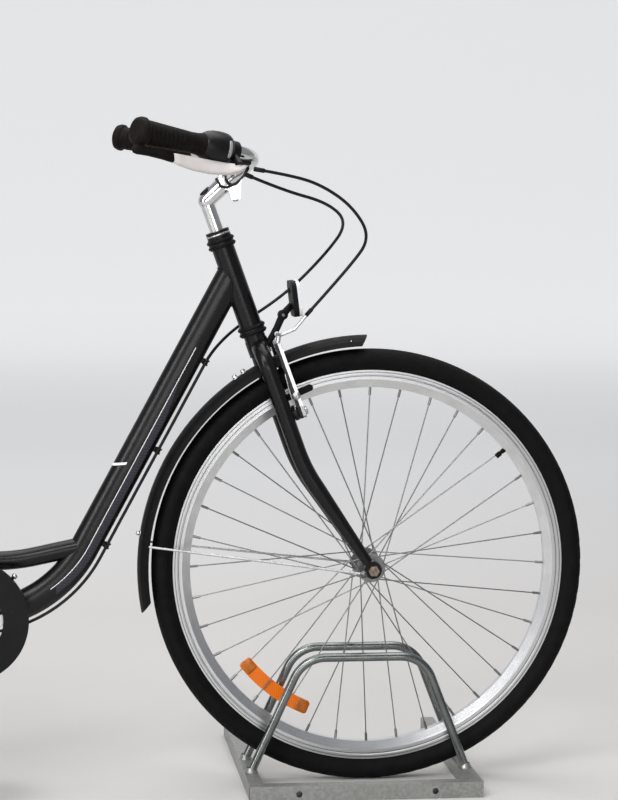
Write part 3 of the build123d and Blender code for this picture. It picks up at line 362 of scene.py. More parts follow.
def down_tube_finish():
    """Black paint with a white pinstripe over a finely hatched grey field."""
    sheet = Sheet("down_tube_paint")
    half_stripe, stripe_start = 0.0006, 0.130
    slash_run, half_slash = 0.3385, 0.0023
    x, _, z = sheet.axes()
    run = along(sheet, DOWN_TOP, DOWN_FALL)
    lead = along(sheet, DOWN_TOP, DOWN_BELOW)
    swing = sheet.minus(radius_from(sheet, BEND_CENTRE), BEND_RADIUS)
    bent = sheet.above(run, BEND_START)
    side = sheet.plus(sheet.times(sheet.minus(1.0, bent), lead), sheet.times(bent, swing))
    shift = sheet.spread(run, 0.0035, -0.0055, BEND_START, BEND_START + 0.16)
    drop = sheet.minus(side, shift)
    stripe = sheet.under(sheet.math("ABSOLUTE", drop), half_stripe)
    stripe = sheet.times(stripe, sheet.above(run, stripe_start))
    stripe = sheet.times(stripe, sheet.above(x, DOWN_CORNER.x + 0.003))
    below = sheet.times(sheet.above(drop, 0.0009),
                        sheet.under(drop, sheet.spread(run, 0.0, 0.0125, 0.17, 0.26)))
    below = sheet.times(below, sheet.above(x, DOWN_CORNER.x + 0.012))
    hatch = sheet.above(sheet.math("SINE", sheet.times(z, 2600.0)), -0.25)
    field = sheet.times(below, hatch)
    cloud = sheet.ramp(sheet.noise(25), (0.0042, 0.0041, 0.0047), (0.0058, 0.0056, 0.0064))
    toned = sheet.mix(field, cloud, (0.050, 0.050, 0.068))
    slash_at = sheet.plus(run, sheet.times(lead, 0.70))
    slash = sheet.under(sheet.math("ABSOLUTE", sheet.minus(slash_at, slash_run)), half_slash)
    slash = sheet.times(slash, sheet.under(lead, -0.006))
    white = sheet.math("MAXIMUM", stripe, slash)
    sheet.feed("Base Color", sheet.mix(white, toned, (0.85, 0.85, 0.86)))
    sheet.rough(60, 0.24, 0.31)
    sheet.bump(sheet.noise(1600, 2.0), 0.04)
    sheet.set(Specular_IOR_Level=0.30)
    return sheet.mat


def brake_arm_finish():
    """Arms polished along their front edge and black behind it."""
    sheet = Sheet("brake_arm_alloy")
    front = sheet.above(along(sheet, FOOT, AHEAD), 0.0268)
    bright = sheet.ramp(sheet.noise(60), (0.52, 0.52, 0.53), (0.62, 0.62, 0.63))
    sheet.feed("Base Color", sheet.mix(front, (0.006, 0.006, 0.0065), bright))
    sheet.feed("Metallic", sheet.times(front, 0.95))
    sheet.rough(90, 0.26, 0.40)
    sheet.bump(sheet.noise(1500, 2.0), 0.06)
    sheet.set(Specular_IOR_Level=0.28)
    return sheet.mat


galvanised = galvanised_finish()
brake_arm_alloy = brake_arm_finish()
plated_tube = hoop_finish()
scuffed = guard_finish()
white_lens = lens_finish("white_lens", (0.86, 0.87, 0.88), (0.60, 0.61, 0.63))
orange_lens = lens_finish("orange_lens", (0.86, 0.20, 0.004), (0.62, 0.10, 0.002))
red_lens = lens_finish("red_lens", (0.55, 0.015, 0.015), (0.30, 0.006, 0.006))
front_rim_mat = rim_finish("front_rim_alloy", FRONT_AXLE)
rear_rim_mat = rim_finish("rear_rim_alloy", REAR_AXLE)
front_tyre_mat = tyre_finish("front_tyre_rubber", FRONT_AXLE)
rear_tyre_mat = tyre_finish("rear_tyre_rubber", REAR_AXLE)
down_tube_mat = down_tube_finish()

finishes = {
    galvanised: ("rack_cross_bar", "rack_side_bars"),
    plated_tube: ("rack_hoop_right", "rack_hoop_left"),
    paint: ("fork_crown", "fork_blades", "head_tube", "brace_tube", "seat_tube", "bottom_bracket_shell",
            "chain_stays", "seat_stays", "rear_dropouts"),
    down_tube_mat: ("down_tube",),
    satin_black: ("headset_locknut", "headset_cups", "brake_lever_mount", "shifter_housing"),
    reflector_black: ("front_reflector_bracket", "front_reflector_back"),
    polished: ("stem", "handlebar", "seatpost"),
    brake_arm_alloy: ("brake_arms",),
    satin_alloy: ("brake_noodle", "seat_clamp", "crankset"),
    spoke_steel: ("rear_hub_spokes", "front_hub_spokes"),
    rubber: ("grip_right", "grip_left", "twist_grip", "brake_pads"),
    fender_plastic: ("front_fender", "rear_fender"),
    scuffed: ("chain_guard",),
    plastic: ("pedal_right", "pedal_left", "cable_clips"),
    housing: ("front_brake_cable", "gear_cable_loop", "gear_cable_frame"),
    zinc: ("front_fender_stays", "rear_fender_stays", "coaster_arm", "saddle_rails"),
    lever_alloy: ("brake_lever_blade",),
    dark_steel: ("chain", "sprocket"),
    nut_steel: ("front_axle", "rear_axle"),
    white_lens: ("front_reflector_lens",),
    orange_lens: ("spoke_reflector",),
    red_lens: ("rear_reflector",),
    front_rim_mat: ("front_rim",),
    rear_rim_mat: ("rear_rim",),
    front_tyre_mat: ("front_tyre",),
    rear_tyre_mat: ("rear_tyre",),
    cover: ("saddle",),
}
for finish, names in finishes.items():
    for name in names:
        mesh = nodes[name].data
        mesh.materials.clear()
        mesh.materials.append(finish)


# Pieces
SIDE = Vector((0, 1, 0))
UP = Vector((0, 0, 1))


def radial(degrees):
    """A direction in a wheel's plane, by its angle from straight ahead."""
    turn = math.radians(degrees)
    return Vector((math.cos(turn), 0, math.sin(turn)))


def spin(aside, across, turn):
    """A direction at an angle in the plane of two others."""
    return aside * math.cos(turn) + across * math.sin(turn)


def turns(count):
    """Angles of equal steps round a circle."""
    return [2 * math.pi * i / count for i in range(count)]


def hold(made, body="front_end", replaced=()):
    """Puts a piece on its body and hides the parts that it replaces."""
    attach(made, body)
    if replaced:
        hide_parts(*replaced)
    return made


def smooth_faces(mesh):
    """Shades a mesh as one smooth skin."""
    for face in mesh.polygons:
        face.use_smooth = True


def placed(name, data, finish=None):
    """A new object of a mesh or a curve."""
    made = bpy.data.objects.new(name, data)
    scene.collection.objects.link(made)
    if finish:
        data.materials.append(finish)
    return made


def add(name, form, finish, body="front_end", replaced=()):
    """A smooth piece from a finished bmesh, on its body."""
    bmesh.ops.recalc_face_normals(form, faces=form.faces)
    mesh = bpy.data.meshes.new(name)
    form.to_mesh(mesh)
    form.free()
    smooth_faces(mesh)
    return hold(placed(name, mesh, finish), body, replaced)


def box_of(name):
    """The two corners of a node's box and its middle."""
    low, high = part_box(name)
    return low, high, (Vector(low) + Vector(high)) / 2


def runs(path):
    """The direction of a path at each of its points."""
    last = len(path) - 1
    return [(path[min(i + 1, last)] - path[max(i - 1, 0)]).normalized() for i in range(last + 1)]


def frame_on(axis):
    """Two directions square to an axis."""
    axis = axis.normalized()
    aside = axis.cross(UP if abs(axis.z) < 0.9 else Vector((1, 0, 0))).normalized()
    return aside, axis.cross(aside)


def bridge(form, near, far):
    """Faces between two rings of points; from a ring of one point they spread as a fan."""
    count = max(len(near), len(far))
    for i in range(count):
        j = (i + 1) % count
        corners = (near[i % len(near)], near[j % len(near)], far[j % len(far)], far[i % len(far)])
        corners = list(dict.fromkeys(corners))
        if len(corners) > 2:
            form.faces.new(corners)


def lathe(form, at, axis, outline, count=32):
    """Turns an outline about an axis: radius and height of each point, in millimetres."""
    aside, across = frame_on(axis)
    axis = axis.normalized()
    rings = []
    for radius, height in outline:
        level = at + axis * (height / 1000)
        ring = [level]
        if radius:
            ring = [level + spin(aside, across, turn) * (radius / 1000) for turn in turns(count)]
        rings.append([form.verts.new(point) for point in ring])
    for low, high in zip(rings, rings[1:]):
        bridge(form, low, high)


def skin(form, rings):
    """Faces over a row of equal rings, closed at both ends."""
    made = [[form.verts.new(at) for at in ring] for ring in rings]
    for near, far in zip(made, made[1:]):
        bridge(form, near, far)
    form.faces.new(made[0][::-1])
    form.faces.new(made[-1])


def hex_head(form, at, axis, across, height, washer):
    """A six-sided head with a turned top edge and a washer under it, in millimetres."""
    thick, count = 0.8, 36
    axis = axis.normalized()
    lathe(form, at, axis, [(0, 0), (washer, 0), (washer, thick), (0, thick)], 28)
    aside, side = frame_on(axis)
    flat = across / 2000
    corner = flat / math.cos(math.pi / 6)
    rings = []
    for share, up in ((1.0, 0.0), (1.0, 0.78), (0.86, 1.0)):
        level = at + axis * ((thick + height * up) / 1000)
        ring = []
        for turn in turns(count):
            near = (turn % (math.pi / 3)) - math.pi / 6
            ring.append(level + spin(aside, side, turn) * min(corner * share, flat / math.cos(near)))
        rings.append(ring)
    skin(form, rings)


def dome_head(form, at, axis, radius, height, socket=True):
    """A domed screw head, in millimetres, with a recess in its top."""
    rim, eye, floor = 0.35, 0.45, 0.45
    outline = [(0, 0), (radius, 0), (radius, height * rim)]
    for step in range(1, 6):
        turn = math.radians(90 * step / 6)
        away, up = eye + (1 - eye) * math.cos(turn), rim + (1 - rim) * math.sin(turn)
        outline.append((radius * away, height * up))
    if socket:
        outline += [(radius * eye, height), (radius * 0.42, height * floor), (0, height * floor)]
    else:
        outline += [(0, height)]
    lathe(form, at, axis, outline, 24)


def soft_ring(middle, half_a, half_b, count=24, square=0.6):
    """Points round a rounded rectangle."""
    ring = []
    for turn in turns(count):
        a, b = math.cos(turn), math.sin(turn)
        a = math.copysign(abs(a) ** square, a)
        b = math.copysign(abs(b) ** square, b)
        ring.append(middle + half_a * a + half_b * b)
    return ring


def round_cord(name, points, radius, finish, closed=False, ripple=1.0):
    """A round cord along a smooth spline; a closed one may ripple in thickness, as a weld bead does."""
    data = bpy.data.curves.new(name, "CURVE")
    data.dimensions = "3D"
    data.bevel_depth = radius
    data.bevel_resolution = 3 if closed else 5
    data.resolution_u = 3 if closed else 16
    data.use_fill_caps = not closed
    line = data.splines.new("NURBS")
    line.points.add(len(points) - 1)
    for number, (point, at) in enumerate(zip(line.points, points)):
        point.co = (*at, 1)
        point.radius = ripple if number % 2 else 1 / ripple
    line.order_u = 3
    line.use_endpoint_u = not closed
    line.use_cyclic_u = closed
    return placed(name, data, finish)


TYRE_STEPS, TYRE_CUTS = 640, 160


def tread_depth(step, phi):
    """How deep the tread is cut at one step round the tyre and one angle across it."""
    spread = abs(phi)
    slant = int(step + (8 if phi > 0 else 0) + spread * 0.10)
    if 34 < spread < 66 and slant % (TYRE_STEPS // TYRE_CUTS) == 0:
        return 0.0011
    if 8 < spread < 14:
        return 0.0008
    if 22 < spread < 28:
        return 0.0007
    if 14 <= spread <= 22 and (step // 2) % 4 == 0:
        return 0.0006
    return 0.0


def tyre_piece(end, centre, finish):
    """A road tyre: smooth walls, a ribbed crown and fine cuts along its shoulders."""
    half_wide, middle, half_tall = 0.0198, 0.3330, 0.0167
    no_tread = 200
    section = []
    for step in range(53):
        phi = math.radians(-128 + 256 * step / 52)
        section.append((half_wide * math.sin(phi), middle + half_tall * math.cos(phi), math.degrees(phi)))
    for aside, away in ((0.0118, 0.3185), (0.0110, 0.3165), (0.0, 0.3160), (-0.0110, 0.3165),
                        (-0.0118, 0.3185)):
        section.append((aside, away, no_tread))
    form = bmesh.new()
    rings = []
    for i, turn in enumerate(turns(TYRE_STEPS)):
        ring = []
        for aside, away, phi in section:
            sink = tread_depth(i, phi)
            if sink:
                aside -= sink * math.sin(math.radians(phi))
                away -= sink * math.cos(math.radians(phi))
            at = Vector((math.cos(turn) * away, aside, math.sin(turn) * away))
            ring.append(form.verts.new(centre + at))
        rings.append(ring)
    for i in range(TYRE_STEPS):
        bridge(form, rings[i], rings[(i + 1) % TYRE_STEPS])
    add(end + "_tyre_tread", form, finish, end + "_wheel", (end + "_tyre",))


# share of the way from end to end, then millimetres ahead, left and up of that straight line
BRAKE_BOW = ((0.1, 47, 6, 14), (0.25, 82, 9, 34), (0.45, 115, 13, 47), (0.65, 129, 12, 45), (0.8, 89, 13, 35))
GEAR_BOW = ((0.12, 65, 17, 12), (0.28, 149, 37, 40), (0.42, 193, 60, 49), (0.58, 175, 100, 46),
            (0.74, 121, 91, 28), (0.88, 46, 61, 16), (0.96, 10, 16, 6))
HOUSING_RADIUS, CABLE_OFF = 0.0025, 0.030


def on_down_tube(run):
    """A point on the gear cable's run under the down tube, in metres from the head."""
    return DOWN_TOP + DOWN_BELOW * CABLE_OFF + DOWN_FALL * run


def bowed(start, end, bow):
    """Control points of a cable that bows out between two ends."""
    way = end - start
    return [start] + [start + way * share + Vector(off) / 1000 for share, *off in bow] + [end]


BRAKE_CABLE = bowed(CLAMP + Vector((0.021, -0.190, 0.015)), steer(BOSS_S + 142, 85, -46), BRAKE_BOW)
GEAR_LOOP = bowed(CLAMP + Vector((0.007, -0.190, 0.007)), on_down_tube(0.140), GEAR_BOW)


def cables():
    """Housings of the front brake and of the gear; the gear's spans the steering."""
    brake = round_cord("front_brake_housing", BRAKE_CABLE, HOUSING_RADIUS, housing)
    hold(brake, replaced=("front_brake_cable",))
    line = round_cord("gear_line", GEAR_LOOP, HOUSING_RADIUS, housing)
    mesh = bpy.data.meshes.new_from_object(line.evaluated_get(bpy.context.evaluated_depsgraph_get()))
    bpy.data.objects.remove(line)
    smooth_faces(mesh)
    gear_cord = placed("gear_housing_loop", mesh)
    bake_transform(gear_cord)
    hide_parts("gear_cable_loop")


def saddle_piece():
    """The padded saddle: the frame's solid softened and swollen as cloth over foam."""
    shrink_x, shrink_y, shrink_z = 0.985, 0.97, 0.95
    voxel, swell, base = 0.005, 0.005, 0.022
    made = placed("saddle_pad", nodes["saddle"].data.copy())
    low, _, middle = box_of("saddle")
    for vert in made.data.vertices:
        vert.co = middle + Vector(((vert.co.x - middle.x) * shrink_x, (vert.co.y - middle.y) * shrink_y,
                                   (vert.co.z - middle.z) * shrink_z))
    bpy.context.view_layer.objects.active = made
    made.select_set(True)
    made.data.remesh_voxel_size = voxel
    bpy.ops.object.voxel_remesh()
    start = [vert.co.copy() for vert in made.data.vertices]
    pin = made.vertex_groups.new(name="held")
    pin.add([v.index for v in made.data.vertices if v.co.z < low[2] + base], 1.0, "REPLACE")
    soft = made.modifiers.new("foam", "CLOTH")
    for key, value in (
        ("quality", 5), ("use_pressure", True), ("uniform_pressure_force", 4.0),
        ("vertex_group_mass", "held"), ("tension_stiffness", 25), ("compression_stiffness", 25),
        ("bending_stiffness", 2.0),
    ):
        setattr(soft.settings, key, value)
    soft.settings.effector_weights.gravity = 0
    soft.collision_settings.use_collision = False
    for step in range(1, 21):
        scene.frame_set(step)
    bpy.ops.object.modifier_apply(modifier="foam")
    scene.frame_set(1)
    made.vertex_groups.clear()
    for vert, at in zip(made.data.vertices, start):
        move = vert.co - at
        if move.length > swell:
            vert.co = at + move.normalized() * swell
    even = made.modifiers.new("even", "SMOOTH")
    even.iterations = 6
    bpy.ops.object.modifier_apply(modifier="even")
    fine = made.modifiers.new("fine", "SUBSURF")
    fine.levels = fine.render_levels = 1
    bpy.ops.object.modifier_apply(modifier="fine")
    made.select_set(False)
    smooth_faces(made.data)
    made.data.materials.clear()
    made.data.materials.append(cover)
    return hold(made, "frame", ("saddle",))


def on_wheel(centre, degrees, radius, aside=0.0):
    """A point by angle from straight ahead, radius from the axle and side, in metres."""
    return centre + radial(degrees) * radius + SIDE * aside


def valve_piece(end, centre, degrees):
    """A tube valve with its ring nut and cap."""
    form = bmesh.new()
    foot = on_wheel(centre, degrees, 0.2890)
    inward = -radial(degrees)
    lathe(form, foot, inward, [(0, -6), (3.8, -6), (3.8, 6), (3.1, 7), (3.1, 9), (4.2, 9.5), (4.2, 16.5),
                               (3.4, 18), (0, 18)], 24)
    lathe(form, foot, inward, [(0, -1.5), (6.5, -1.5), (6.5, 1), (0, 1)], 24)
    add(end + "_valve", form, rubber, end + "_wheel")


def fender_bolts():
    """Screws through the front fender at its bridge and at its stays, and rivets at its bracket."""
    ridge, edge = 0.3715, 0.3622
    form = bmesh.new()
    for degrees, radius in ((123.2, 4.2), (125.6, 4.2), (171.5, 4.0)):
        lathe(form, on_wheel(FRONT_AXLE, degrees, ridge), radial(degrees),
              [(0, -1), (6.2, -1), (6.2, 0.9), (radius, 0.9), (radius, 4), (radius * 0.72, 6.2),
               (0, 6.6)], 20)
    add("fender_screws", form, zinc)
    form = bmesh.new()
    for side in (-1, 1):
        foot = on_wheel(FRONT_AXLE, 95.2, edge, side * 0.0205)
        dome_head(form, foot, Vector((0, side, 1.1)), 3.4, 1.6, False)
    add("fender_rivets", form, zinc)


def joint_line(start, reach, half_a, half_b, centre, axis, radius, count=56):
    """Where an oval tube's skin meets a round tube, as a closed row of points."""
    axis = axis.normalized()
    reach = reach.normalized()
    points = []
    for turn in turns(count):
        at = start + spin(half_a, half_b, turn)
        away = at - centre
        flat_away = away - axis * away.dot(axis)
        flat_reach = reach - axis * reach.dot(axis)
        a = flat_reach.dot(flat_reach)
        b = flat_away.dot(flat_reach)
        c = flat_away.dot(flat_away) - radius * radius
        room = max(b * b - a * c, 0.0)
        points.append(at + reach * ((-b - math.sqrt(room)) / a))
    return points


def saddle_piping(pad):
    """Piping sewn round the saddle where its cover meets the base."""
    up, band, sunk = 0.014, 0.004, 0.0006
    low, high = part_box("saddle")
    level = low[2] + up
    middle = Vector(((low[0] * 0.62 + high[0] * 0.38), 0, level))
    count = 72
    reach = [0.0] * count
    for vert in pad.data.vertices:
        if abs(vert.co.z - level) > band:
            continue
        away = vert.co - middle
        sector = int((math.atan2(away.y, away.x) / (2 * math.pi) % 1.0) * count) % count
        reach[sector] = max(reach[sector], math.hypot(away.x, away.y))
    points = []
    for sector, far in enumerate(reach):
        turn = 2 * math.pi * (sector + 0.5) / count
        if far:
            points.append(middle + Vector((math.cos(turn), math.sin(turn), 0)) * (far - sunk))
    hold(round_cord("saddle_piping", points, 0.0016, satin_black, True), "frame")


def frame_welds():
    """Beads round the frame's joints."""
    down_wide, down_deep, seat_radius, brace_radius = 0.017, 0.0235, 0.017, 0.015
    shell_skin, bead = 0.0222, 0.0017
    seat_up = radial(180 - 72)
    brace_end = BB + Vector((-0.030, 0, 0.085))
    brace_run = (brace_end - (BB + Vector((0.080, 0, 0.087)))).normalized()
    # name, where the tube's run starts, its direction, half its width and depth,
    # the round tube that it meets with its direction and radius, radius of the bead
    welds = (
        ("head_weld", DOWN_TOP + DOWN_FALL * 0.20, -DOWN_FALL, down_wide, DOWN_BELOW * down_deep,
         FOOT, UP_AXIS, 0.0182, bead),
        ("bracket_weld", BB + Vector((0.10, 0, 0)), Vector((-1, 0, 0)), down_wide, UP * down_deep,
         BB, SIDE, shell_skin, bead),
        ("seat_weld", BB + seat_up * 0.1, -seat_up, seat_radius, seat_up.cross(SIDE) * seat_radius,
         BB, SIDE, shell_skin, bead),
        ("brace_weld", brace_end - brace_run * 0.08, brace_run, brace_radius,
         brace_run.cross(SIDE) * brace_radius, BB, seat_up, 0.0172, 0.0015),
    )
    for name, start, reach, wide, deep, centre, axis, radius, thick in welds:
        points = joint_line(start, reach, SIDE * wide, deep, centre, axis, radius)
        hold(round_cord(name, points, thick, paint, True, 1.13), "frame")


def rack_welds():
    """Fillets of weld round the feet of the hoops."""
    form = bmesh.new()
    fillet = [(10.5, 0), (10, 1.2), (8.6, 3), (7.4, 6.2), (6.8, 7.5)]
    for x in (-0.192, 0.156):
        for y in (-0.044, 0.044):
            lathe(form, Vector((FRONT_X + x, y, 0.025)), UP, fillet, 28)
    add("rack_welds", form, galvanised)


def brake_fittings():
    """Pivot screws, pad nuts, springs and the cable clamp of the rim brake."""
    form = bmesh.new()
    for side in (-1, 1):
        dome_head(form, steer(BOSS_S, 32.5, side * 43), AHEAD, 6.8, 4.8)
        pad = steer(BOSS_S + 28, 27, side * 50.5)
        hex_head(form, pad, SIDE * side, 9, 5, 6.5)
        dome_head(form, pad + SIDE * (side * 0.0055), SIDE * side, 3.4, 2.4)
    hex_head(form, steer(BOSS_S + 98, 33, 38), AHEAD, 9, 5, 6.2)
    add("brake_screws", form, zinc)
    # up from the boss, ahead of the steering axis, out from the middle
    path = ((-4, 19, 47), (20, 18, 53), (52, 20, 51), (66, 22, 46))
    for side, name in ((-1, "right"), (1, "left")):
        line = [steer(BOSS_S + up, ahead, side * out) for up, ahead, out in path]
        hold(round_cord("brake_spring_" + name, line, 0.0009, zinc))
    form = bmesh.new()
    for side in (-1, 1):
        lathe(form, steer(BOSS_S, 14, side * 43), AHEAD,
              [(0, 0), (9.8, 0), (10.4, 1), (10.4, 6.5), (9.2, 7.5), (0, 7.5)], 28)
    add("brake_spring_seats", form, satin_black)


GRIP_TIP = CLAMP + Vector((-0.160, -0.290, 0.068))
BAR_KNEE = CLAMP + Vector((0.023, -0.185, 0.034))
BAR_MIDDLE = CLAMP + Vector((0, -0.035, 0))
GRIP_IN = (BAR_KNEE - GRIP_TIP).normalized()
GRIP_DOWN = (GRIP_IN * GRIP_IN.z - UP).normalized()
GRIP_OUT = GRIP_IN.cross(GRIP_DOWN)


def by_grip(along, down=0.0, out=0.0):
    """A point beside the right end of the bar, in metres from millimetres."""
    return GRIP_TIP + (GRIP_IN * along + GRIP_DOWN * down + GRIP_OUT * out) / 1000


def lever_rings(stations):
    """Sections of the brake lever."""
    rings = []
    for along, low, high, lean, thick in stations:
        reach = spin(GRIP_DOWN, -GRIP_OUT, math.radians(lean))
        aside = GRIP_IN.cross(reach)
        middle = by_grip(along) + reach * ((low + high) / 2000)
        rings.append(soft_ring(middle, reach * ((high - low) / 2000), aside * (thick / 1000)))
    return rings


# sections of the lever: along the bar, from and to which reach, lean in degrees and half thickness
LEVER_BLADE = ((178, 33, 38, 47, 2.5), (174, 30, 41, 46, 4.6), (165, 28, 44, 42, 5), (150, 26, 46.5, 34, 4.5),
               (120, 24, 47, 27, 4), (92, 23.5, 45.5, 24, 4), (70, 23.5, 41.5, 22, 4), (54, 24, 37, 22, 3.6))
LEVER_END = ((59, 24, 37.6, 22, 2.2), (58, 23.4, 38.4, 22, 4.4), (40, 23.4, 36.5, 22, 4.8),
             (15, 23.8, 35.5, 22, 4.8), (-4, 24.2, 36.4, 22, 4.8), (-10, 26, 35.5, 22, 3.6),
             (-12, 29, 33, 22, 1.8))


def brake_lever():
    """The lever: a broad pale blade under the twist grip with a black end to pull on."""
    blade, tip = bmesh.new(), bmesh.new()
    skin(blade, lever_rings(LEVER_BLADE))
    skin(tip, lever_rings(LEVER_END))
    add("brake_lever", blade, lever_alloy, replaced=("brake_lever_blade",))
    add("brake_lever_end", tip, rubber)


def shifter_shell():
    """The shifter's rounded housing, its snout for the cables and its indicator strip."""
    form = bmesh.new()
    lathe(form, by_grip(0), GRIP_IN,
          [(11.3, 111), (16.6, 111), (19, 115), (22.2, 121), (24.3, 129), (25, 138), (25, 147), (24, 154),
           (21.5, 158.5), (18, 160), (11.3, 160)], 48)
    # along the bar, below it, inboard of it, radius
    snout = ((140, 10, 2, 14), (152, 13, 3, 12.5), (162, 17, 4.5, 9.5), (174, 22.5, 6.5, 6.8),
             (184, 26.5, 8, 5.4), (187, 27.6, 8.3, 4.2))
    aside, across = frame_on(by_grip(186, 27, 8) - by_grip(150, 14, 4))
    rings = []
    for along, down, out, radius in snout:
        size = radius / 1000
        rings.append(soft_ring(by_grip(along, down, out), aside * size, across * size, 24, 0.9))
    skin(form, rings)
    add("shifter_shell", form, satin_black, replaced=("shifter_housing",))
    strip = bmesh.new()
    rings = []
    for step in range(9):
        out = spin(GRIP_DOWN, -GRIP_OUT, math.radians(58 + 7.5 * step))
        inset = 0.55 if step in (0, 8) else 1.0
        rings.append(soft_ring(by_grip(149.5) + out * 0.0247, GRIP_IN * 0.0030 * inset, out * 0.0008, 16))
    skin(strip, rings)
    add("shifter_indicator", strip, indicator_grey)


def cable_strap():
    """A strap tied round the bar beside the stem, with its slack end looped up to the cables."""
    way = (BAR_KNEE - BAR_MIDDLE).normalized()
    form = bmesh.new()
    lathe(form, BAR_MIDDLE + way * 0.008, way,
          [(11.2, -2.2), (12.6, -2.2), (13, -1.6), (13, 1.6), (12.6, 2.2), (11.2, 2.2)], 36)
    # ahead of the clamp, left of it and above it, in millimetres
    loop = ((12, -172, 16), (10.9, -130, 6), (2.9, -92, -6), (-8.5, -60, -13.5), (-17, -50, -12),
            (-21.6, -47, -5), (-24.9, -45, 0.5))
    path = [CLAMP + Vector(at) / 1000 for at in loop]
    rings = []
    for at, run in zip(path, runs(path)):
        flat = (way - run * way.dot(run)).normalized()
        rings.append(soft_ring(at, flat * 0.0024, run.cross(flat) * 0.0020, 14))
    skin(form, rings)
    add("cable_strap", form, satin_black)


def headset_rings():
    """Rolled seals of the headset's two cups and the bright washer under its nut."""
    form = bmesh.new()
    bulge = [(20.3, 0), (21.6, 0.4), (22.6, 1.8), (22.6, 3.4), (21.6, 4.8), (20.3, 5.2)]
    for foot in (LOWER_CUP + 1.0, LOWER_CUP + 9.5, HEAD_TOP + 1.0, HEAD_TOP + 9.5):
        lathe(form, steer(foot), UP_AXIS, bulge, 48)
    add("headset_seals", form, reflector_black, "frame")
    form = bmesh.new()
    lathe(form, steer(NUT_TOP - 7.2), UP_AXIS,
          [(16.5, 0), (19, 0), (19.4, 0.6), (19.4, 2.2), (19, 2.8), (16.5, 2.8)], 40)
    add("headset_washer", form, zinc)


def reflector_arm():
    """The front reflector's moulded arm with its pivot boss."""
    form = bmesh.new()
    rings = []
    half_wide = SIDE * 0.0075
    # up from the crown's foot, ahead of the steering axis, half thickness
    path = ((8, 15, 4.4), (15, 19, 4.8), (23, 29, 5.2), (31, 38, 5.4), (40, 46.5, 5.6), (47.5, 54, 5.8),
            (52, 62, 5.4), (58, 72.5, 4.6))
    points = [steer(CROWN_LOW + up, ahead) for up, ahead, _ in path]
    for at, run, (_, _, thick) in zip(points, runs(points), path):
        half_thick = run.cross(half_wide).normalized() * (thick / 1000)
        rings.append(soft_ring(at, half_wide, half_thick, 20, 0.55))
    skin(form, rings)
    boss = steer(CROWN_LOW + 47.5, 53.8, -10)
    lathe(form, boss, SIDE, [(0, 0), (6.4, 0), (7.6, 1), (7.6, 19), (6.4, 20), (0, 20)])
    add("reflector_arm", form, reflector_black, replaced=("front_reflector_bracket",))
    pin = bmesh.new()
    dome_head(pin, boss - SIDE * 0.0002, -SIDE, 2.6, 1.2)
    add("reflector_pin", pin, dark_steel)


def reflector_upright():
    """The front reflector, tipped forward on its arm until it stands almost upright."""
    lean = 12.5
    middle = steer(CROWN_LOW + 65.5, 82.4)
    tip = Matrix.Rotation(math.radians(lean), 4, "Y")
    turned = Matrix.Translation(middle) @ tip @ Matrix.Translation(-middle)
    for node, name, slot in (("front_reflector_lens", "reflector_face", "white_lens"),
                             ("front_reflector_back", "reflector_shell", "plastic")):
        mesh = nodes[node].data.copy()
        mesh.transform(turned)
        hold(placed(name, mesh), replaced=(node,))
    form = bmesh.new()
    dome_head(form, steer(CROWN_LOW + 80, 78.8), -AHEAD, 4.8, 4)
    add("reflector_stud", form, reflector_black)


def axle_ends():
    """Threaded ends of both axles in their nuts."""
    thread = [(0, 0), (4.6, 0), (4.6, 0.9), (4.1, 1.2), (4.6, 1.6), (4, 2.1), (2.2, 2.1), (1.8, 1.5),
              (0, 1.5)]
    for name, body in (("front_axle", "front_end"), ("rear_axle", "frame")):
        low, high, middle = box_of(name)
        form = bmesh.new()
        for side, face in ((-1, low[1]), (1, high[1])):
            lathe(form, Vector((middle.x, face - side * 0.0012, middle.z)), SIDE * side, thread, 24)
        add(name + "_ends", form, dark_steel, body)


def tube_clips():
    """Clips that hold the gear cable to the down tube: a pad, a collar and two ridges each."""
    form = bmesh.new()
    collar = [(2.6, -5), (4.7, -5), (5.1, -4.4), (5.1, -2.6), (4, -2.2), (4, 2.2), (5.1, 2.6), (5.1, 4.4),
              (4.7, 5), (2.6, 5)]
    half_long, half_wide = DOWN_FALL * 0.0044, SIDE * 0.0042
    # from the cable towards the tube, size
    pad = ((0.0078, 1.25), (0.0062, 1.0), (0.0036, 0.9), (0.0030, 0.8))
    for run in (0.1435, 0.303, 0.474):
        cable = on_down_tube(run)
        lathe(form, cable, DOWN_FALL, collar, 24)
        skin(form, [soft_ring(cable - DOWN_BELOW * away, half_long * size, half_wide * size, 20, 0.5)
                    for away, size in pad])
    add("tube_clips", form, plastic, "frame", ("cable_clips",))


def spoke_reflector_ends():
    """Thicker clip ends of the spoke reflector."""
    form = bmesh.new()
    for start, sign in ((217.6, 1), (247.6, -1)):
        rings = []
        for step, grow in ((0.2, 0.82), (0.7, 1.0), (4.2, 1.0), (4.9, 0.86)):
            out = radial(start + sign * step)
            half_tall, half_thick = out * 0.0108 * grow, SIDE * 0.0044 * grow
            rings.append(soft_ring(FRONT_AXLE + out * 0.252, half_tall, half_thick, 24, 0.5))
        skin(form, rings)
    add("spoke_reflector_ends", form, amber_dark, "front_wheel")


def ferrules():
    """End caps where the cable housings stop."""
    form = bmesh.new()
    ends = ((BRAKE_CABLE[0], BRAKE_CABLE[1], 3.6, 16), (BRAKE_CABLE[-1], BRAKE_CABLE[-2], 3.4, 13),
            (GEAR_LOOP[0], GEAR_LOOP[1], 3.6, 14))
    for at, toward, radius, length in ends:
        lathe(form, at, toward - at, [(0, -1), (radius, -1), (radius, length - 2), (radius * 0.86, length),
                                      (2.4, length), (0, length)], 24)
    add("cable_caps", form, satin_black)


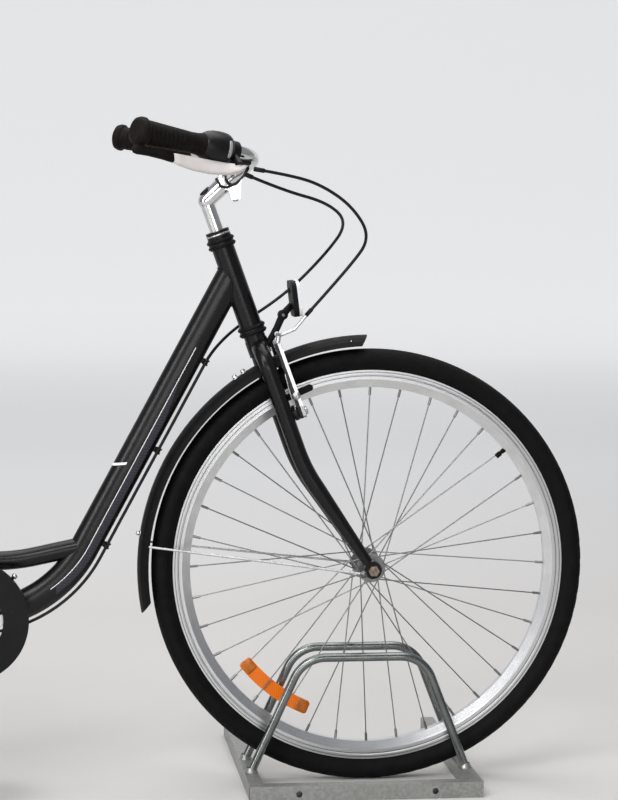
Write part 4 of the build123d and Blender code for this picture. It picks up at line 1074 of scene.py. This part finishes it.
def frame_screws():
    """Screws of the stem, the guard, the seat clamp and the stays, and the stem's cap."""
    stay_bolt = (8, 4.2, 6)
    form = bmesh.new()
    dome_head(form, CLAMP + Vector((0.0100, 0, -0.0310)), Vector((0.06, 0, -1)), 5, 4.6)
    add("front_end_screws", form, zinc)
    kink = steer(NUT_TOP + 50)
    stem_run = (CLAMP - kink).normalized()
    stem_back = Vector((-stem_run.z, 0, stem_run.x))
    form = bmesh.new()
    lathe(form, kink + stem_run * 0.0085 + stem_back * 0.0085, stem_back,
          [(0, 0), (9.4, 0), (9.4, 5.2), (8.6, 6.3), (0, 6.6)])
    add("stem_cap", form, satin_black)
    form = bmesh.new()
    for side in (-1, 1):
        hex_head(form, Vector((FRONT_X - 0.016, side * 0.062, 0.345)), SIDE * side, *stay_bolt)
    add("stay_screws", form, dark_steel)
    form = bmesh.new()
    for side in (-1, 1):
        hex_head(form, REAR_AXLE + Vector((-0.012, side * 0.077, 0.014)), SIDE * side, *stay_bolt)
    lathe(form, on_wheel(BB, 43, 0.0960, -0.050), radial(43),
          [(0, 0), (3, 0), (3, 4.5), (4.6, 4.6), (4.6, 8.5), (3, 9.8), (0, 9.8)], 20)
    low, _, middle = box_of("seat_clamp")
    lathe(form, Vector((low[0] + 0.004, middle.y - 0.013, middle.z)), SIDE,
          [(0, 0), (4.2, 0), (4.2, 26), (0, 26)], 20)
    add("frame_screws", form, zinc, "frame")


def chain_pins():
    """The riveted pin ends of the chain's two straight runs."""
    pitch, ring_teeth, cog_teeth = 0.0127, 38, 19
    ring = pitch / (2 * math.sin(math.pi / ring_teeth))
    cog = pitch / (2 * math.sin(math.pi / cog_teeth))
    centres = (REAR_AXLE - BB).length
    tilt = math.pi - math.asin((REAR_AXLE.z - BB.z) / centres)
    opening = math.asin((ring - cog) / centres)
    form = bmesh.new()
    for sign in (-1, 1):
        turn = tilt + sign * (math.pi / 2 - opening)
        out = Vector((math.cos(turn), 0, math.sin(turn)))
        start, end = BB + out * ring, REAR_AXLE + out * cog
        run = (end - start).length
        for number in range(2, int(run / pitch) - 1):
            at = start + (end - start) * ((number * pitch) / run)
            for y, way in ((-0.0538, -1), (-0.0462, 1)):
                lathe(form, at + SIDE * y, SIDE * way,
                      [(0, -1.2), (1.9, -1.2), (1.9, 0.3), (1.2, 0.6), (0, 0.6)], 10)
    add("chain_pins", form, dark_steel, "frame")


def pedal_reflectors():
    """Amber reflectors let into both long sides of each pedal."""
    crank, out, half_long = 0.170, 0.129, 0.0450
    deep, wide, tall = 0.0016, 0.046, 0.013
    for side, name, z in ((-1, "pedal_right", BB.z - crank), (1, "pedal_left", BB.z + crank)):
        form = bmesh.new()
        for ahead in (-1, 1):
            middle = Vector((BB.x + ahead * half_long, side * out, z))
            for vert in bmesh.ops.create_cube(form, size=1.0)["verts"]:
                vert.co = middle + Vector((vert.co.x * deep, vert.co.y * wide, vert.co.z * tall))
        bmesh.ops.bevel(form, geom=form.edges[:], offset=0.0006, segments=2, affect="EDGES")
        add(name + "_reflectors", form, amber, name)


tyre_piece("front", FRONT_AXLE, front_tyre_mat)
tyre_piece("rear", REAR_AXLE, rear_tyre_mat)
cables()
saddle_pad = saddle_piece()
valve_piece("front", FRONT_AXLE, 40)
valve_piece("rear", REAR_AXLE, 150)
fender_bolts()
saddle_piping(saddle_pad)
frame_welds()
rack_welds()
brake_fittings()
brake_lever()
shifter_shell()
cable_strap()
headset_rings()
reflector_arm()
reflector_upright()
axle_ends()
tube_clips()
spoke_reflector_ends()
ferrules()
frame_screws()
chain_pins()
pedal_reflectors()

# Floor, backdrop, light and camera
def stage_painted_light_finish():
    """A pale studio floor with painted shade, a little darker and warmer under the bicycle, that grades into
    a backdrop painted brighter and made to glow more the further back it lies.
    """
    sheet = Sheet("studio_floor_painted_light")
    y = sheet.axes()[1]
    # painted shade: the floor is a little darker and warmer near and under the bicycle
    near = sheet.mix(sheet.spread(y, 0.0, 1.0, -0.6, 1.6), (0.555, 0.545, 0.527), (0.545, 0.531, 0.518))
    tone = sheet.mix(sheet.spread(y, 0.0, 1.0, 1.5, 4.0), near, (0.74, 0.74, 0.738))
    sheet.feed("Base Color", tone)
    sheet.rough(3, 0.75, 0.9)
    sheet.set(Emission_Color=(1.0, 1.0, 1.0, 1.0))
    # painted light: the sweep glows, more strongly the further back it lies
    sheet.feed("Emission Strength", sheet.spread(y, 0.0, 0.46, 0.3, 10.3))
    return sheet.mat


def make_stage():
    """A floor swept up into a far wall."""
    mesh = bpy.data.meshes.new("studio_sweep")
    half, near, wall, tall, bend = 24.0, -20.0, 14.0, 14.0, 5.0
    line = [(near, 0.0), (0.0, 0.0), (wall - bend, 0.0)]
    for step in range(1, 17):
        turn = math.radians(90 * step / 16)
        line.append((wall - bend + bend * math.sin(turn), bend - bend * math.cos(turn)))
    line.append((wall, tall))
    points, faces = [], []
    for y, z in line:
        points += [(-half, y, z), (half, y, z)]
    for i in range(len(line) - 1):
        faces.append((2 * i, 2 * i + 1, 2 * i + 3, 2 * i + 2))
    mesh.from_pydata(points, [], faces)
    smooth_faces(mesh)
    sweep = placed("studio_sweep", mesh, stage_painted_light_finish())


def lamp(name, place, aim, size, power):
    """A soft area lamp aimed at a point."""
    data = bpy.data.lights.new(name, "AREA")
    data.shape = "RECTANGLE"
    data.size, data.size_y = size
    data.energy = power
    made = placed(name, data)
    made.visible_camera = False
    made.location = place
    made.rotation_euler = (Vector(aim) - Vector(place)).to_track_quat("-Z", "Y").to_euler()


make_stage()
world = bpy.data.worlds.new("studio_world")
scene.world = world
world.use_nodes = True
sky = world.node_tree.nodes["Background"].inputs
sky["Color"].default_value = (0.92, 0.94, 1.0, 1)
sky["Strength"].default_value = 0.30
lamp("key_light", (-1.6, -3.2, 3.6), (0.2, 0, 0.5), (2.6, 1.6), 115)
lamp("left_light", (-2.9, -2.6, 1.5), (0.1, 0, 0.6), (0.8, 2.2), 44)
lamp("top_light", (0.3, 0.4, 3.8), (0.1, 0.2, 0.3), (4.0, 3.0), 120)
lamp("fill_light", (0.0, -4.9, 1.05), (0.2, 0, 0.6), (3.0, 1.2), 46)

CAM_PLACE = Vector((-0.0171, -3.7253, 0.9742))
CAM_YAW, CAM_PITCH, CAM_ROLL = 0.1281, -0.0948, 0.0089
CAM_LENS, CAM_SENSOR = 106.33, 36.0
camera_data = bpy.data.cameras.new("photo_camera")
camera = placed("photo_camera", camera_data)
forward = Vector((math.sin(CAM_YAW) * math.cos(CAM_PITCH), math.cos(CAM_YAW) * math.cos(CAM_PITCH),
                  math.sin(CAM_PITCH)))
level = Vector((math.cos(CAM_YAW), -math.sin(CAM_YAW), 0))
upward = level.cross(forward)
right = level * math.cos(CAM_ROLL) + upward * math.sin(CAM_ROLL)
upward = right.cross(forward)
turn = Matrix((right, upward, -forward)).transposed().to_4x4()
camera.matrix_world = Matrix.Translation(CAM_PLACE) @ turn
camera_data.sensor_width = CAM_SENSOR
camera_data.lens = CAM_LENS
scene.camera = camera
